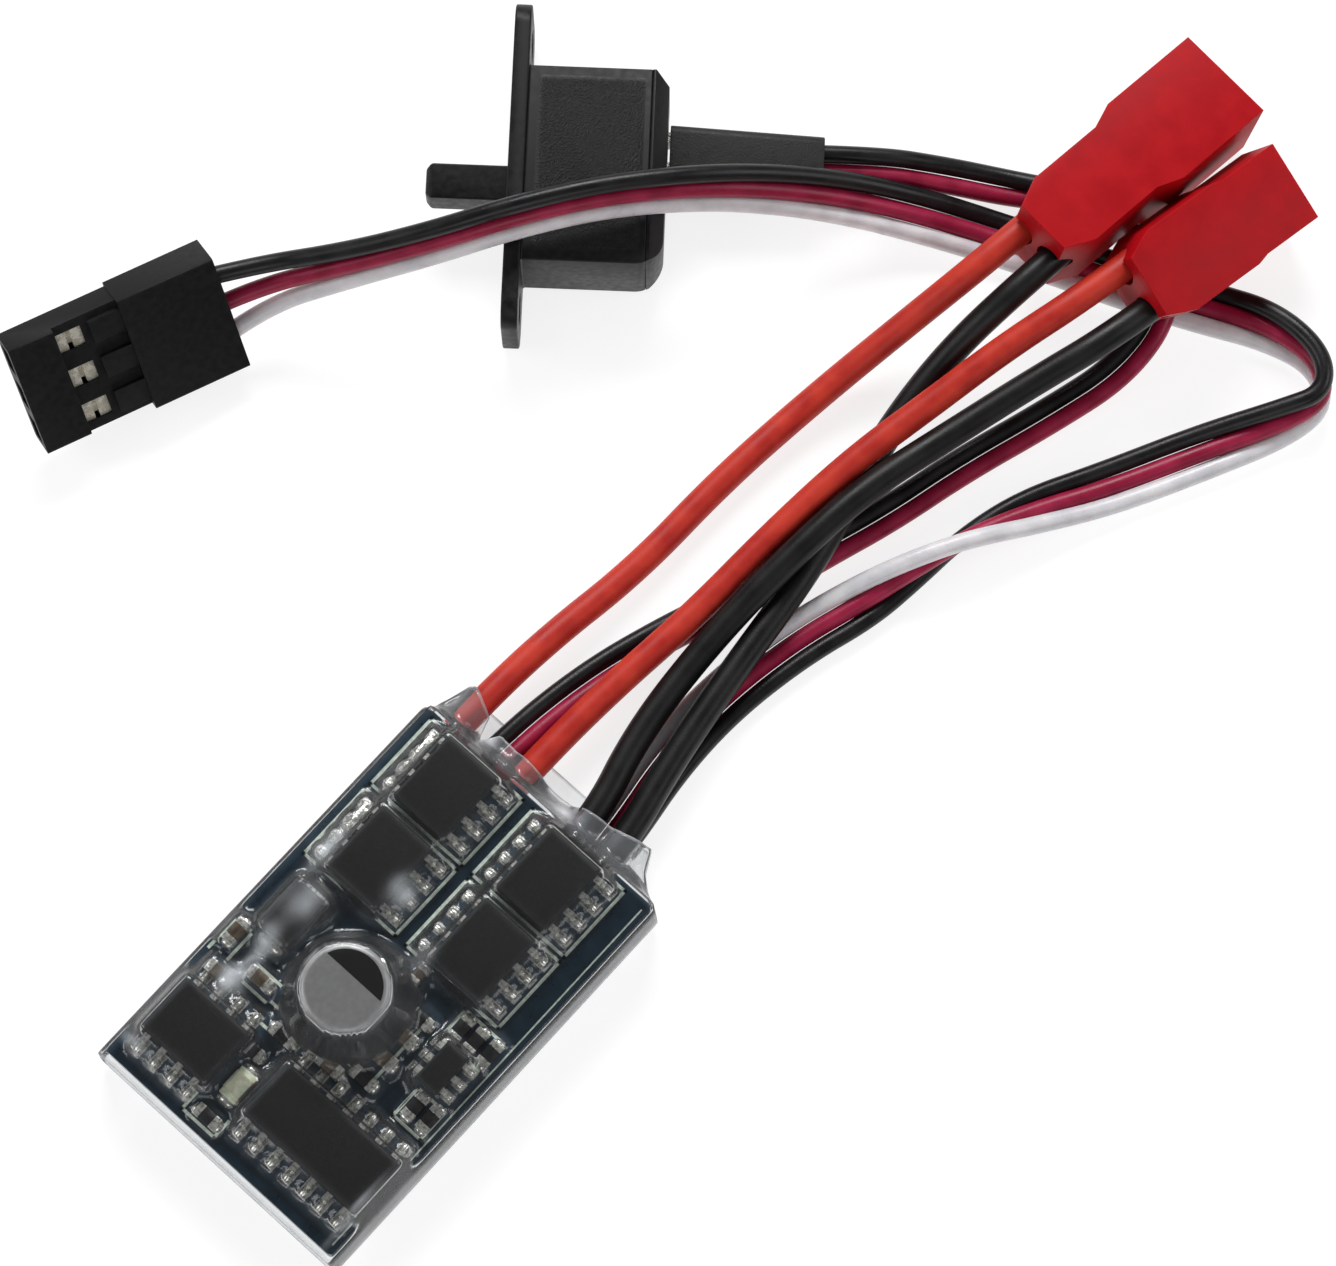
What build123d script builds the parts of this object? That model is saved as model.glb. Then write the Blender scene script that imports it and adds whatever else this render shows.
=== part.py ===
from build123d import *
from math import cos, pi, radians, sin, tan
import os

# Small brushed-motor speed controller: a circuit board in a clear heat-shrink sleeve, two power leads with
# red two-pin connectors, a three-wire servo lead with its plug, and a two-wire lead with a slide switch.
# Millimetres. The origin is under the middle of the sleeved board, +X towards the wires, +Z up.

# Circuit board
board_length = 27.2
board_width = 17.6
board_bottom = 3.05
board_top = 4.25

# Clear sleeve
film = 0.2
sleeve_rear = -14.0
sleeve_shoulder = 13.85
sleeve_mouth = 16.0

# Chips: the gap under the body, and the gull-wing leads; soic_lead is (reach, width)
chip_standoff = 0.1
lead_thickness = 0.2
lead_shoulder = 0.5
soic_height = 1.45
soic_pitch = 1.27
soic_lead = (1.05, 0.42)

# Wires
power_diameter = 1.75
signal_diameter = 1.0
ribbon_pitch = 1.14
crimp_depth = 2.5

# Power connectors: middle of the rear face, middle of the front face, roll about that line in degrees
battery_rear, battery_front, battery_roll = (58.0, 0.98, 6.0), (73.6, -0.22, 2.77), 0
motor_rear, motor_front, motor_roll = (60.0, -5.18, 5.35), (71.6, -6.98, 3.1), 20
battery_pitch = 2.5
motor_pitch = 2.9
wire_bore_radius = 0.98

# Servo plug, lying on one long edge
plug_rear, plug_front, plug_roll = (23.6, 34.7, 3.82), (11.3, 39.3, 4.9), -50
plug_width = 7.6
plug_pitch = 2.54

# Slide switch, lying on its side: middle of the flange, slide direction (x) and the way to its back (z)
switch_plane = Plane(origin=(41.29, 27.23, 3.3), x_dir=(0.767, 0.641, 0), z_dir=(0.641, -0.767, 0))
flange_length = 20.4
flange_width = 6.6
flange_thickness = 1.0
screw_spacing = 16.6
screw_radius = 1.0
case_length = 12.2
case_width = 5.6
case_depth = 8.4
case_wall = 0.7
slide_travel = 1.9
lever_width = 2.2
lever_reach = 4.95

os.makedirs("parts", exist_ok=True)


def write(piece, name):
    piece.part.label = name
    export_step(piece.part, f"parts/{name}.step")


def connector_plane(rear, front, roll):
    """Origin on the rear face, x towards the front face, z out of the broad side."""
    axis = (Vector(front) - Vector(rear)).normalized()
    level = Vector(0, 0, 1).cross(axis).normalized()
    upright = axis.cross(level)
    normal = upright * cos(radians(roll)) - level * sin(radians(roll))
    return Plane(origin=rear, x_dir=axis, z_dir=normal)


def cord(name, route, diameter):
    """A round tube along straight runs joined by arcs as large as the runs allow."""
    points = [Vector(point) for point in route]
    radii = []
    for before, corner, after in zip(points, points[1:], points[2:]):
        turn = (corner - before).get_angle(after - corner)
        shorter = min((corner - before).length, (after - corner).length)
        radii.append(0.45 * shorter / tan(radians(turn / 2)))
    with BuildPart() as tube:
        with BuildLine() as path:
            FilletPolyline(*points, radius=radii)
        start = Plane(origin=points[0], z_dir=points[1] - points[0])
        with BuildSketch(start):
            Circle(diameter / 2)
        sweep(path=path.wires()[0], transition=Transition.RIGHT)
    length = path.wires()[0].length
    expected = pi / 4 * diameter**2 * length
    print(f"{name}: {length:.1f} mm long, volume {tube.part.volume / expected:.4f} of section times length")
    print("  radii", " ".join(f"{radius:.1f}" for radius in radii))
    write(tube, name)


def ribbon_wire(ribbon, offset):
    """One wire of a flat ribbon: each point is moved across the ribbon's own tilt by the offset in wires."""
    route = []
    for index, (x, y, z, tilt, pitch) in enumerate(ribbon):
        before = ribbon[max(index - 1, 0)]
        after = ribbon[min(index + 1, len(ribbon) - 1)]
        along = Vector(after[0] - before[0], after[1] - before[1]).normalized()
        side = offset * pitch * cos(radians(tilt))
        rise = offset * pitch * sin(radians(tilt))
        route.append((x - side * along.Y, y + side * along.X, z + rise))
    return route


def lead_planes(center, half_body, count, pitch, along_x):
    """A plane for each gull-wing lead on both sides of a chip: x away from the body, y up."""
    planes = []
    for index in range(count):
        shift = (index - (count - 1) / 2) * pitch
        for side in (-1, 1):
            if along_x:
                foot = (center[0] + shift, center[1] + side * half_body, board_top)
                planes.append(Plane(origin=foot, x_dir=(0, side, 0), z_dir=(side, 0, 0)))
            else:
                foot = (center[0] + side * half_body, center[1] + shift, board_top)
                planes.append(Plane(origin=foot, x_dir=(side, 0, 0), z_dir=(0, -side, 0)))
    return planes


def chip(name, center, size, count, pitch, along_x, reach, lead_width):
    """A moulded chip body and, as a second piece, its gull-wing leads."""
    length, width, height = size
    bevel = min(0.125, height / 8)
    with BuildPart() as body:
        with BuildSketch(Plane((center[0], center[1], board_top + chip_standoff))):
            Rectangle(length, width)
        extrude(amount=height)
        chamfer(body.faces().sort_by(Axis.Z)[-1].edges(), bevel)
    write(body, name)
    half_body = (width if along_x else length) / 2
    knee_low = chip_standoff + height / 2 - lead_thickness / 2
    knee_high = knee_low + lead_thickness
    with BuildPart() as leads:
        with BuildSketch(*lead_planes(center, half_body, count, pitch, along_x)):
            Polygon(
                (0, knee_low),
                (lead_shoulder - lead_thickness, knee_low),
                (lead_shoulder - lead_thickness, 0),
                (reach, 0),
                (reach, lead_thickness),
                (lead_shoulder, lead_thickness),
                (lead_shoulder, knee_high),
                (0, knee_high),
                align=None,
            )
        extrude(amount=lead_width / 2, both=True)
    write(leads, name + "_leads")


# Circuit board
with BuildPart() as circuit_board:
    with BuildSketch(Plane.XY.offset(board_bottom)):
        RectangleRounded(board_length, board_width, 0.3)
    extrude(amount=board_top - board_bottom)
write(circuit_board, "circuit_board")


# Sleeve: a flat tube round the board, drawn up into a tent over the capacitor and pinched in at its mouth.
# Each section is (half width of the floor, of the sides and of the top, low and high ends of the sides, top).
tube_section = (8.3, 9.35, 8.8, 3.2, 4.5, 6.3)
mouth_section = (8.3, 8.9, 8.2, 1.2, 2.4, 3.5)
tent_center = (-2.2, 0)
tent_foot = (9.6, 15.6)
tent_foot_height = 6.0
tent_top_center = (-2.2, 0.3)
tent_top_side = 5.7
tent_top_height = 9.95


def outline(section, skin):
    floor_half, side_half, top_half, side_low, side_high, top = section
    right = [
        (floor_half - skin, skin),
        (side_half - skin, side_low),
        (side_half - skin, side_high),
        (top_half - skin, top - skin),
    ]
    left = [(-y, z) for y, z in reversed(right)]
    return right + left


def sleeve_solid(skin, overrun):
    across = Plane(origin=(sleeve_rear - overrun, 0, 0), x_dir=(0, 1, 0), z_dir=(1, 0, 0))
    with BuildPart() as solid:
        with BuildSketch(across):
            Polygon(*outline(tube_section, skin), align=None)
        extrude(amount=sleeve_shoulder - sleeve_rear + overrun)
        with BuildSketch(Plane(origin=(sleeve_shoulder, 0, 0), x_dir=(0, 1, 0), z_dir=(1, 0, 0))):
            Polygon(*outline(tube_section, skin), align=None)
        with BuildSketch(Plane(origin=(sleeve_mouth, 0, 0), x_dir=(0, 1, 0), z_dir=(1, 0, 0))):
            Polygon(*outline(mouth_section, skin), align=None)
        loft(ruled=True)
        with BuildSketch(Plane((*tent_center, tent_foot_height))):
            Rectangle(tent_foot[0] - 2 * skin, tent_foot[1] - 2 * skin)
        with BuildSketch(Plane((*tent_top_center, tent_top_height - skin))):
            Rectangle(tent_top_side - skin, tent_top_side - skin)
        loft(ruled=True)
        if overrun:
            with BuildSketch(Plane(origin=(sleeve_mouth, 0, 0), x_dir=(0, 1, 0), z_dir=(1, 0, 0))):
                Polygon(*outline(mouth_section, skin), align=None)
            extrude(amount=overrun)
    return solid.part


sleeve_cavity = sleeve_solid(film, 1.0)
with BuildPart() as heat_shrink_sleeve:
    add(sleeve_solid(0, 0))
    add(sleeve_cavity, mode=Mode.SUBTRACT)
write(heat_shrink_sleeve, "heat_shrink_sleeve")

# Chips: the four power transistors of the motor bridge, the microcontroller, the regulator and the driver
bridge = [(10.6, 4.6), (5.0, 4.65), (10.6, -3.4), (5.0, -3.4)]
for number, center in enumerate(bridge, 1):
    chip(f"power_transistor_{number}", center, (4.9, 3.9, soic_height), 4, soic_pitch, True, *soic_lead)
chip("microcontroller", (-9.1, -3.95), (3.9, 8.65, soic_height), 7, soic_pitch, False, *soic_lead)
chip("voltage_regulator", (-9.4, 5.55), (3.9, 4.9, soic_height), 4, soic_pitch, False, *soic_lead)
chip("gate_driver", (-1.5, -6.3), (2.9, 1.6, 1.0), 3, 0.95, True, 0.6, 0.38)

# Electrolytic capacitor: base plate, can, rubber bung, winding and feet
can_center = (-2.2, 0.3)
can_radius = 2.6
can_bottom = board_top + 0.45
can_height = 4.75
can_wall = 0.2
can_roof = 0.25
can_edge_radius = 0.35
base_side = 5.3
base_corner = 1.0
base_standoff = 0.1
base_thickness = 0.35
bung_height = 0.8
winding_radius = can_radius - 0.35
winding_height = 3.4
foot_offset = 2.35
foot_length = 1.6
foot_width = 0.7
with BuildPart() as capacitor_base:
    with BuildSketch(Plane((*can_center, board_top + base_standoff))) as base_outline:
        Rectangle(base_side, base_side)
        chamfer(base_outline.vertices().group_by(Axis.X)[-1], base_corner)
    extrude(amount=base_thickness)
write(capacitor_base, "capacitor_base")
with BuildPart() as capacitor_can:
    with BuildSketch(Plane((*can_center, can_bottom))):
        Circle(can_radius)
    extrude(amount=can_height)
    fillet(capacitor_can.faces().sort_by(Axis.Z)[-1].edges(), can_edge_radius)
    with BuildSketch(Plane((*can_center, can_bottom))):
        Circle(can_radius - can_wall)
    extrude(amount=can_height - can_roof, mode=Mode.SUBTRACT)
write(capacitor_can, "capacitor_can")
with BuildPart() as capacitor_bung:
    with BuildSketch(Plane((*can_center, can_bottom))):
        Circle(can_radius - can_wall)
    extrude(amount=bung_height)
write(capacitor_bung, "capacitor_bung")
with BuildPart() as capacitor_winding:
    with BuildSketch(Plane((*can_center, can_bottom + bung_height))):
        Circle(winding_radius)
    extrude(amount=winding_height)
write(capacitor_winding, "capacitor_winding")
with BuildPart() as capacitor_feet:
    for side in (-1, 1):
        with BuildSketch(Plane((can_center[0] + side * foot_offset, can_center[1], board_top))):
            Rectangle(foot_length, foot_width)
        extrude(amount=base_standoff)
write(capacitor_feet, "capacitor_feet")

# Surge diode with its two end terminals
diode_center = (-0.7, 6.0)
diode_length = 3.4
diode_width = 2.2
diode_height = 1.5
diode_standoff = 0.1
diode_bevel = 0.2
terminal_length = 0.5
terminal_width = 1.3
terminal_height = 0.9
with BuildPart() as surge_diode:
    with BuildSketch(Plane((*diode_center, board_top + diode_standoff))):
        Rectangle(diode_length, diode_width)
    extrude(amount=diode_height)
    chamfer(surge_diode.faces().sort_by(Axis.Z)[-1].edges(), diode_bevel)
write(surge_diode, "surge_diode")
with BuildPart() as surge_diode_terminals:
    for side in (-1, 1):
        shift = side * (diode_length + terminal_length) / 2
        with BuildSketch(Plane((diode_center[0] + shift, diode_center[1], board_top))):
            Rectangle(terminal_length, terminal_width)
        extrude(amount=terminal_height)
write(surge_diode_terminals, "surge_diode_terminals")

# Status light: a base and a shorter lens on it
light_center = (-10.0, 1.7)
light_length = 2.0
light_width = 1.25
light_base_height = 0.5
lens_length = 1.3
lens_height = 0.35
with BuildPart() as status_light:
    with BuildSketch(Plane((*light_center, board_top))):
        Rectangle(light_length, light_width)
    extrude(amount=light_base_height)
    with BuildSketch(Plane((*light_center, board_top + light_base_height))):
        Rectangle(lens_length, light_width)
    extrude(amount=lens_height)
write(status_light, "status_light")


# Chip resistors and capacitors: (x, y, length along X, width along Y)
resistor_sites = [
    (-12.5, 1.8, 0.8, 1.6),
    (-6.2, 1.8, 0.8, 1.6),
    (-8.0, 2.4, 0.8, 1.0),
    (-4.1, -6.6, 1.6, 0.8),
    (-4.1, -7.7, 1.6, 0.8),
    (0.96, -5.5, 1.6, 0.8),
    (0.96, -6.6, 1.6, 0.8),
    (0.96, -7.7, 1.6, 0.8),
    (-0.2, -3.3, 0.8, 1.6),
    (-4.9, -3.3, 0.8, 1.6),
]
capacitor_sites = [
    (-3.6, 7.9, 1.6, 0.8),
    (-4.7, 5.0, 0.8, 1.6),
    (-6.0, 7.0, 0.8, 1.6),
    (-1.6, -3.3, 0.9, 1.7),
    (-3.3, -3.3, 0.9, 1.7),
    (-5.7, -1.4, 0.8, 1.6),
    (1.6, -1.6, 1.0, 0.6),
]


def chip_parts(name, sites, height):
    with BuildPart() as parts:
        for x, y, length, width in sites:
            with BuildSketch(Plane((x, y, board_top))):
                Rectangle(length, width)
            extrude(amount=height)
    write(parts, name)


resistor_height = 0.45
capacitor_height = 0.75
chip_parts("chip_resistors", resistor_sites, resistor_height)
chip_parts("chip_capacitors", capacitor_sites, capacitor_height)

# Solder under the board: one bead for each wire
power_bead_end = 9.6
power_bead_length = 1.8
power_bead_width = 1.6
power_bead_bottom = 1.3
servo_bead_end = 7.2
servo_bead_bottom = 0.35
switch_bead_end = 7.3
switch_bead_bottom = 0.9
signal_bead_length = 1.4
signal_bead_width = 0.9
power_exits = [7.1, 2.2, -2.75, -4.95]
servo_exit = -4.0
switch_exit = 4.5

power_bead = (power_bead_length, power_bead_width, power_bead_bottom)
servo_bead = (signal_bead_length, signal_bead_width, servo_bead_bottom)
switch_bead = (signal_bead_length, signal_bead_width, switch_bead_bottom)
# (end, y, length, width, bottom) of each bead
beads = [(power_bead_end, y, *power_bead) for y in power_exits]
beads += [(servo_bead_end, servo_exit + step * ribbon_pitch, *servo_bead) for step in (-1, 0, 1)]
beads += [(switch_bead_end, switch_exit + step * ribbon_pitch, *switch_bead) for step in (-0.5, 0.5)]
with BuildPart() as solder_joints:
    for end, y, length, width, bottom in beads:
        with BuildSketch(Plane((end - length / 2, y, bottom))):
            Rectangle(length, width)
        extrude(amount=board_bottom - bottom)
write(solder_joints, "solder_joints")

# Power wires, from the board to the connectors
battery_red_route = [
    (9.6, 7.1, 2.16),
    (15.2, 7.15, 2.1),
    (21.5, 6.95, 1.5),
    (28.5, 6.0, 0.95),
    (36.0, 5.95, 0.9),
    (43.5, 5.2, 1.0),
    (49.8, 3.9, 3.2),
    (55.65, 2.38, 6.45),
    (60.54, 2.01, 5.45),
]
battery_black_route = [
    (9.6, -4.95, 2.16),
    (15.2, -4.85, 2.16),
    (21.0, -3.5, 2.15),
    (28.0, -2.5, 2.1),
    (34.5, -1.8, 2.05),
    (40.0, -0.6, 1.95),
    (45.3, 0.6, 1.5),
    (50.4, 0.75, 3.5),
    (55.46, -0.11, 6.45),
    (60.35, -0.48, 5.45),
]
motor_red_route = [
    (9.6, 2.2, 2.16),
    (15.2, 2.3, 2.1),
    (21.5, 2.1, 2.1),
    (28.5, 1.4, 2.15),
    (35.0, 1.15, 2.7),
    (41.4, 0.5, 3.7),
    (47.0, -0.65, 4.2),
    (52.4, -1.8, 5.2),
    (57.86, -3.41, 6.31),
    (62.72, -4.12, 5.37),
]
motor_black_route = [
    (9.6, -2.75, 2.16),
    (15.2, -2.6, 2.16),
    (21.0, -0.9, 2.15),
    (28.0, -0.35, 2.4),
    (34.5, -0.65, 3.7),
    (40.5, -1.2, 4.05),
    (46.5, -2.7, 3.7),
    (52.0, -4.3, 4.4),
    (57.28, -6.08, 5.33),
    (62.14, -6.79, 4.39),
]
cord("battery_wire_red", battery_red_route, power_diameter)
cord("battery_wire_black", battery_black_route, power_diameter)
cord("motor_wire_red", motor_red_route, power_diameter)
cord("motor_wire_black", motor_black_route, power_diameter)

# Servo ribbon, from the plug to the board: (x, y, z, tilt, pitch). The tilt turns the ribbon about its own
# run: 0 lies flat with the black wire on the left, 90 stands on edge with the black wire on top.
servo_ribbon = [
    (22.0, 35.3, 3.96, 50, 2.4),
    (25.7, 33.9, 3.9, 52, 1.5),
    (29.9, 30.3, 5.7, 60, ribbon_pitch),
    (34.0, 27.0, 7.5, 66, ribbon_pitch),
    (38.1, 24.3, 8.6, 68, ribbon_pitch),
    (42.6, 21.2, 8.7, 68, ribbon_pitch),
    (46.9, 17.7, 7.8, 62, ribbon_pitch),
    (50.4, 14.7, 5.8, 50, ribbon_pitch),
    (53.5, 11.6, 3.5, 35, ribbon_pitch),
    (56.0, 8.2, 1.7, 18, ribbon_pitch),
    (58.0, 4.6, 0.7, 0, ribbon_pitch),
    (59.8, 0.5, 0.55, 0, ribbon_pitch),
    (61.6, -4.0, 0.55, 0, ribbon_pitch),
    (63.5, -8.3, 0.6, 0, ribbon_pitch),
    (65.0, -12.0, 1.4, 45, ribbon_pitch),
    (65.3, -15.6, 1.68, 80, ribbon_pitch),
    (63.7, -17.5, 1.68, 100, ribbon_pitch),
    (61.1, -16.7, 1.5, 130, ribbon_pitch),
    (56.6, -14.2, 0.9, 165, ribbon_pitch),
    (51.1, -11.4, 0.6, 180, ribbon_pitch),
    (46.7, -8.9, 1.05, 205, ribbon_pitch),
    (42.9, -7.3, 1.65, 250, ribbon_pitch),
    (39.4, -6.3, 1.65, 290, ribbon_pitch),
    (36.0, -5.3, 1.1, 335, ribbon_pitch),
    (31.5, -3.8, 0.6, 360, ribbon_pitch),
    (26.0, -2.9, 0.55, 360, ribbon_pitch),
    (21.0, -2.95, 0.57, 360, ribbon_pitch),
    (16.3, -3.7, 0.77, 360, ribbon_pitch),
    (11.7, -4.0, 0.77, 360, ribbon_pitch),
    (7.2, -4.0, 0.77, 360, ribbon_pitch),
]
for colour, step in (("black", 1), ("red", 0), ("white", -1)):
    cord(f"servo_wire_{colour}", ribbon_wire(servo_ribbon, step), signal_diameter)

# Switch lead, from the switch to the board, as the servo ribbon. It turns over once, under the connectors.
switch_ribbon = [
    (52.41, 16.33, 3.3, 45, ribbon_pitch),
    (56.4, 12.0, 2.8, 35, ribbon_pitch),
    (59.1, 8.6, 1.5, 15, ribbon_pitch),
    (61.3, 5.2, 0.85, 20, ribbon_pitch),
    (63.2, 2.2, 1.05, 65, ribbon_pitch),
    (64.4, -1.0, 1.05, 110, ribbon_pitch),
    (64.0, -4.2, 1.82, 155, ribbon_pitch),
    (61.2, -6.8, 1.7, 180, ribbon_pitch),
    (57.0, -7.2, 1.0, 180, ribbon_pitch),
    (52.0, -5.8, 0.55, 180, ribbon_pitch),
    (46.3, -4.0, 0.55, 180, ribbon_pitch),
    (41.2, -2.8, 0.55, 180, ribbon_pitch),
    (36.6, -1.3, 0.55, 180, ribbon_pitch),
    (31.9, 0.1, 0.55, 180, ribbon_pitch),
    (27.2, 2.0, 0.55, 180, ribbon_pitch),
    (21.4, 3.7, 0.9, 180, ribbon_pitch),
    (14.4, 4.5, 1.5, 180, ribbon_pitch),
    (7.3, 4.5, 1.5, 180, ribbon_pitch),
]
for colour, step in (("black", 0.5), ("red", -0.5)):
    cord(f"switch_wire_{colour}", ribbon_wire(switch_ribbon, step), signal_diameter)


# Power connectors: a stepped housing with a socket at the front and a bore for each wire at the back
corner_length = 1.9
corner_depth = 0.8
barrel_slack = 0.1
pin_width = 0.7
pin_setback = 1.2


def power_connector(name, rear, front, roll, body, step, socket, pitch):
    """body is (rear width, front width, thickness), step its start and end, socket (width, height, depth)."""
    rear_width, front_width, thickness = body
    step_start, step_end = step
    socket_width, socket_height, socket_depth = socket
    plane = connector_plane(rear, front, roll)
    length = (Vector(front) - Vector(rear)).length

    def across(distance):
        """The plane across the connector at a distance from its rear face."""
        origin = plane.from_local_coords(Vector(distance, 0, 0))
        return Plane(origin=origin, x_dir=plane.y_dir, z_dir=plane.x_dir)

    with BuildPart() as housing:
        with BuildSketch(plane):
            Polygon(
                (0, -rear_width / 2 + corner_depth),
                (corner_length, -rear_width / 2),
                (step_start, -rear_width / 2),
                (step_end, -front_width / 2),
                (length, -front_width / 2),
                (length, front_width / 2),
                (step_end, front_width / 2),
                (step_start, rear_width / 2),
                (corner_length, rear_width / 2),
                (0, rear_width / 2 - corner_depth),
                align=None,
            )
        extrude(amount=thickness / 2, both=True)
        with BuildSketch(across(length)):
            Rectangle(socket_width, socket_height)
        extrude(amount=-socket_depth, mode=Mode.SUBTRACT)
        with BuildSketch(across(0)):
            with Locations((-pitch / 2, 0), (pitch / 2, 0)):
                Circle(wire_bore_radius)
        extrude(amount=length - socket_depth + barrel_slack, mode=Mode.SUBTRACT)
    write(housing, name + "_housing")
    with BuildPart() as contacts:
        with BuildSketch(across(crimp_depth)):
            with Locations((-pitch / 2, 0), (pitch / 2, 0)):
                Circle(wire_bore_radius - barrel_slack)
        extrude(amount=length - socket_depth - crimp_depth)
        with BuildSketch(across(length - socket_depth)):
            with Locations((-pitch / 2, 0), (pitch / 2, 0)):
                Rectangle(pin_width, pin_width)
        extrude(amount=socket_depth - pin_setback)
    write(contacts, name + "_contacts")


power_connector(
    "battery_connector",
    battery_rear,
    battery_front,
    battery_roll,
    body=(5.2, 6.4, 4.9),
    step=(7.2, 8.9),
    socket=(5.2, 3.7, 7.0),
    pitch=battery_pitch,
)
power_connector(
    "motor_connector",
    motor_rear,
    motor_front,
    motor_roll,
    body=(5.6, 5.2, 4.0),
    step=(7.0, 7.8),
    socket=(4.0, 2.8, 5.0),
    pitch=motor_pitch,
)

# Servo plug: a thicker rear part, then a recess with a latch tongue and a window over each contact
plug_plane = connector_plane(plug_rear, plug_front, plug_roll)
plug_length = (Vector(plug_front) - Vector(plug_rear)).length
plug_thickness = 2.5
rear_part_length = 6.2
rear_part_thickness = 2.9
cavity_width = 1.7
cavity_height = 1.4
entry_width = 2.3
entry_height = 1.9
entry_depth = 2.2
recess_length = 4.1
recess_depth = 0.45
tongue_length = 2.0
tongue_width = 1.5
tongue_rise = 0.3
window_length = 1.6
window_width = 1.3
rows = (-plug_pitch, 0, plug_pitch)
plug_corner = 0.2
rear_part_extra = 0.3
tongue_root = 0.05
window_depth = 1.6


def plug_section(distance):
    """The plane across the servo plug at a distance from its rear face."""
    origin = plug_plane.from_local_coords(Vector(distance, 0, 0))
    return Plane(origin=origin, x_dir=plug_plane.y_dir, z_dir=plug_plane.x_dir)


recess_floor = plug_thickness / 2 - recess_depth
recess_end = rear_part_length + recess_length
window_middle = recess_end - window_length / 2 - tongue_root
with BuildPart() as servo_plug_housing:
    with BuildSketch(plug_section(0)):
        RectangleRounded(plug_width + rear_part_extra, rear_part_thickness, plug_corner)
    extrude(amount=rear_part_length)
    with BuildSketch(plug_section(rear_part_length)):
        RectangleRounded(plug_width, plug_thickness, plug_corner)
    extrude(amount=plug_length - rear_part_length)
    with BuildSketch(plug_plane.offset(recess_floor)):
        with Locations((rear_part_length + recess_length / 2, 0)):
            Rectangle(recess_length, plug_width + rear_part_extra)
    extrude(amount=plug_thickness, mode=Mode.SUBTRACT)
    with BuildSketch(plug_plane.offset(recess_floor - tongue_root)):
        with Locations(*[(rear_part_length + tongue_length / 2, row) for row in rows]):
            Rectangle(tongue_length, tongue_width)
    extrude(amount=tongue_rise + tongue_root)
    with BuildSketch(plug_section(0)):
        with GridLocations(plug_pitch, 1, 3, 1):
            Rectangle(cavity_width, cavity_height)
    extrude(amount=plug_length, mode=Mode.SUBTRACT)
    with BuildSketch(plug_section(0)):
        with GridLocations(plug_pitch, 1, 3, 1):
            Rectangle(entry_width, entry_height)
    extrude(amount=entry_depth, mode=Mode.SUBTRACT)
    with BuildSketch(plug_plane):
        with Locations(*[(window_middle, row) for row in rows]):
            Rectangle(window_length, window_width)
    extrude(amount=window_depth, mode=Mode.SUBTRACT)
write(servo_plug_housing, "servo_plug_housing")

# Servo contacts: crimped part, neck, and the box that takes the pin
contact_start = 1.6
neck_start = 9.35
neck_end = 9.65
contact_end = 11.8
contact_section = (1.4, 1.2)
neck_section = (0.8, 0.7)
with BuildPart() as servo_plug_contacts:
    with BuildSketch(plug_section(contact_start)):
        with GridLocations(plug_pitch, 1, 3, 1):
            Rectangle(*contact_section)
    extrude(amount=neck_start - contact_start)
    with BuildSketch(plug_section(neck_start)):
        with GridLocations(plug_pitch, 1, 3, 1):
            Rectangle(*neck_section)
    extrude(amount=neck_end - neck_start)
    with BuildSketch(plug_section(neck_end)):
        with GridLocations(plug_pitch, 1, 3, 1):
            Rectangle(*contact_section)
    extrude(amount=contact_end - neck_end)
write(servo_plug_contacts, "servo_plug_contacts")

# Slide switch. The mechanism sits off the middle of the flange, and the lever rests at one end of its slot.
lever_rest = -0.8
slot_clearance = 0.1
slot_low = lever_rest - lever_width / 2 - slot_clearance
slot_high = lever_rest + slide_travel + lever_width / 2 + slot_clearance
slot_height = 2.3
flange_corner = 1.6
plate_thickness = 1.0
plate_bevel = 0.8
pin_section = (0.6, 1.4)
case_back = flange_thickness / 2 + case_depth

# One back corner of the case is rounded: this is what is cut away there
corner_radius = 1.7
corner_plane = Plane(origin=switch_plane.origin, x_dir=switch_plane.x_dir, z_dir=switch_plane.y_dir)
corner_center = (-case_length / 2 + corner_radius, -(case_back - corner_radius))
with BuildPart() as corner_cut:
    with BuildSketch(corner_plane):
        with Locations((corner_center[0] - corner_radius, corner_center[1] - corner_radius)):
            Rectangle(2 * corner_radius, 2 * corner_radius)
        with Locations(corner_center):
            Circle(corner_radius, mode=Mode.SUBTRACT)
    extrude(amount=case_width, both=True)

with BuildPart() as switch_housing:
    with BuildSketch(switch_plane.offset(-flange_thickness / 2)):
        RectangleRounded(flange_length, flange_width, flange_corner)
    extrude(amount=flange_thickness)
    with BuildSketch(switch_plane.offset(flange_thickness / 2)):
        Rectangle(case_length, case_width)
    extrude(amount=case_depth - plate_thickness)
    with BuildSketch(switch_plane.offset(flange_thickness / 2)):
        Rectangle(case_length - 2 * case_wall, case_width - 2 * case_wall)
    extrude(amount=case_depth, mode=Mode.SUBTRACT)
    with BuildSketch(switch_plane.offset(-flange_thickness / 2)):
        with Locations(((slot_low + slot_high) / 2, 0)):
            Rectangle(slot_high - slot_low, slot_height)
    extrude(amount=flange_thickness, mode=Mode.SUBTRACT)
    with BuildSketch(switch_plane.offset(-flange_thickness / 2)):
        with GridLocations(screw_spacing, 1, 2, 1):
            Circle(screw_radius)
    extrude(amount=flange_thickness, mode=Mode.SUBTRACT)
    add(corner_cut.part, mode=Mode.SUBTRACT)
write(switch_housing, "switch_housing")

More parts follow.
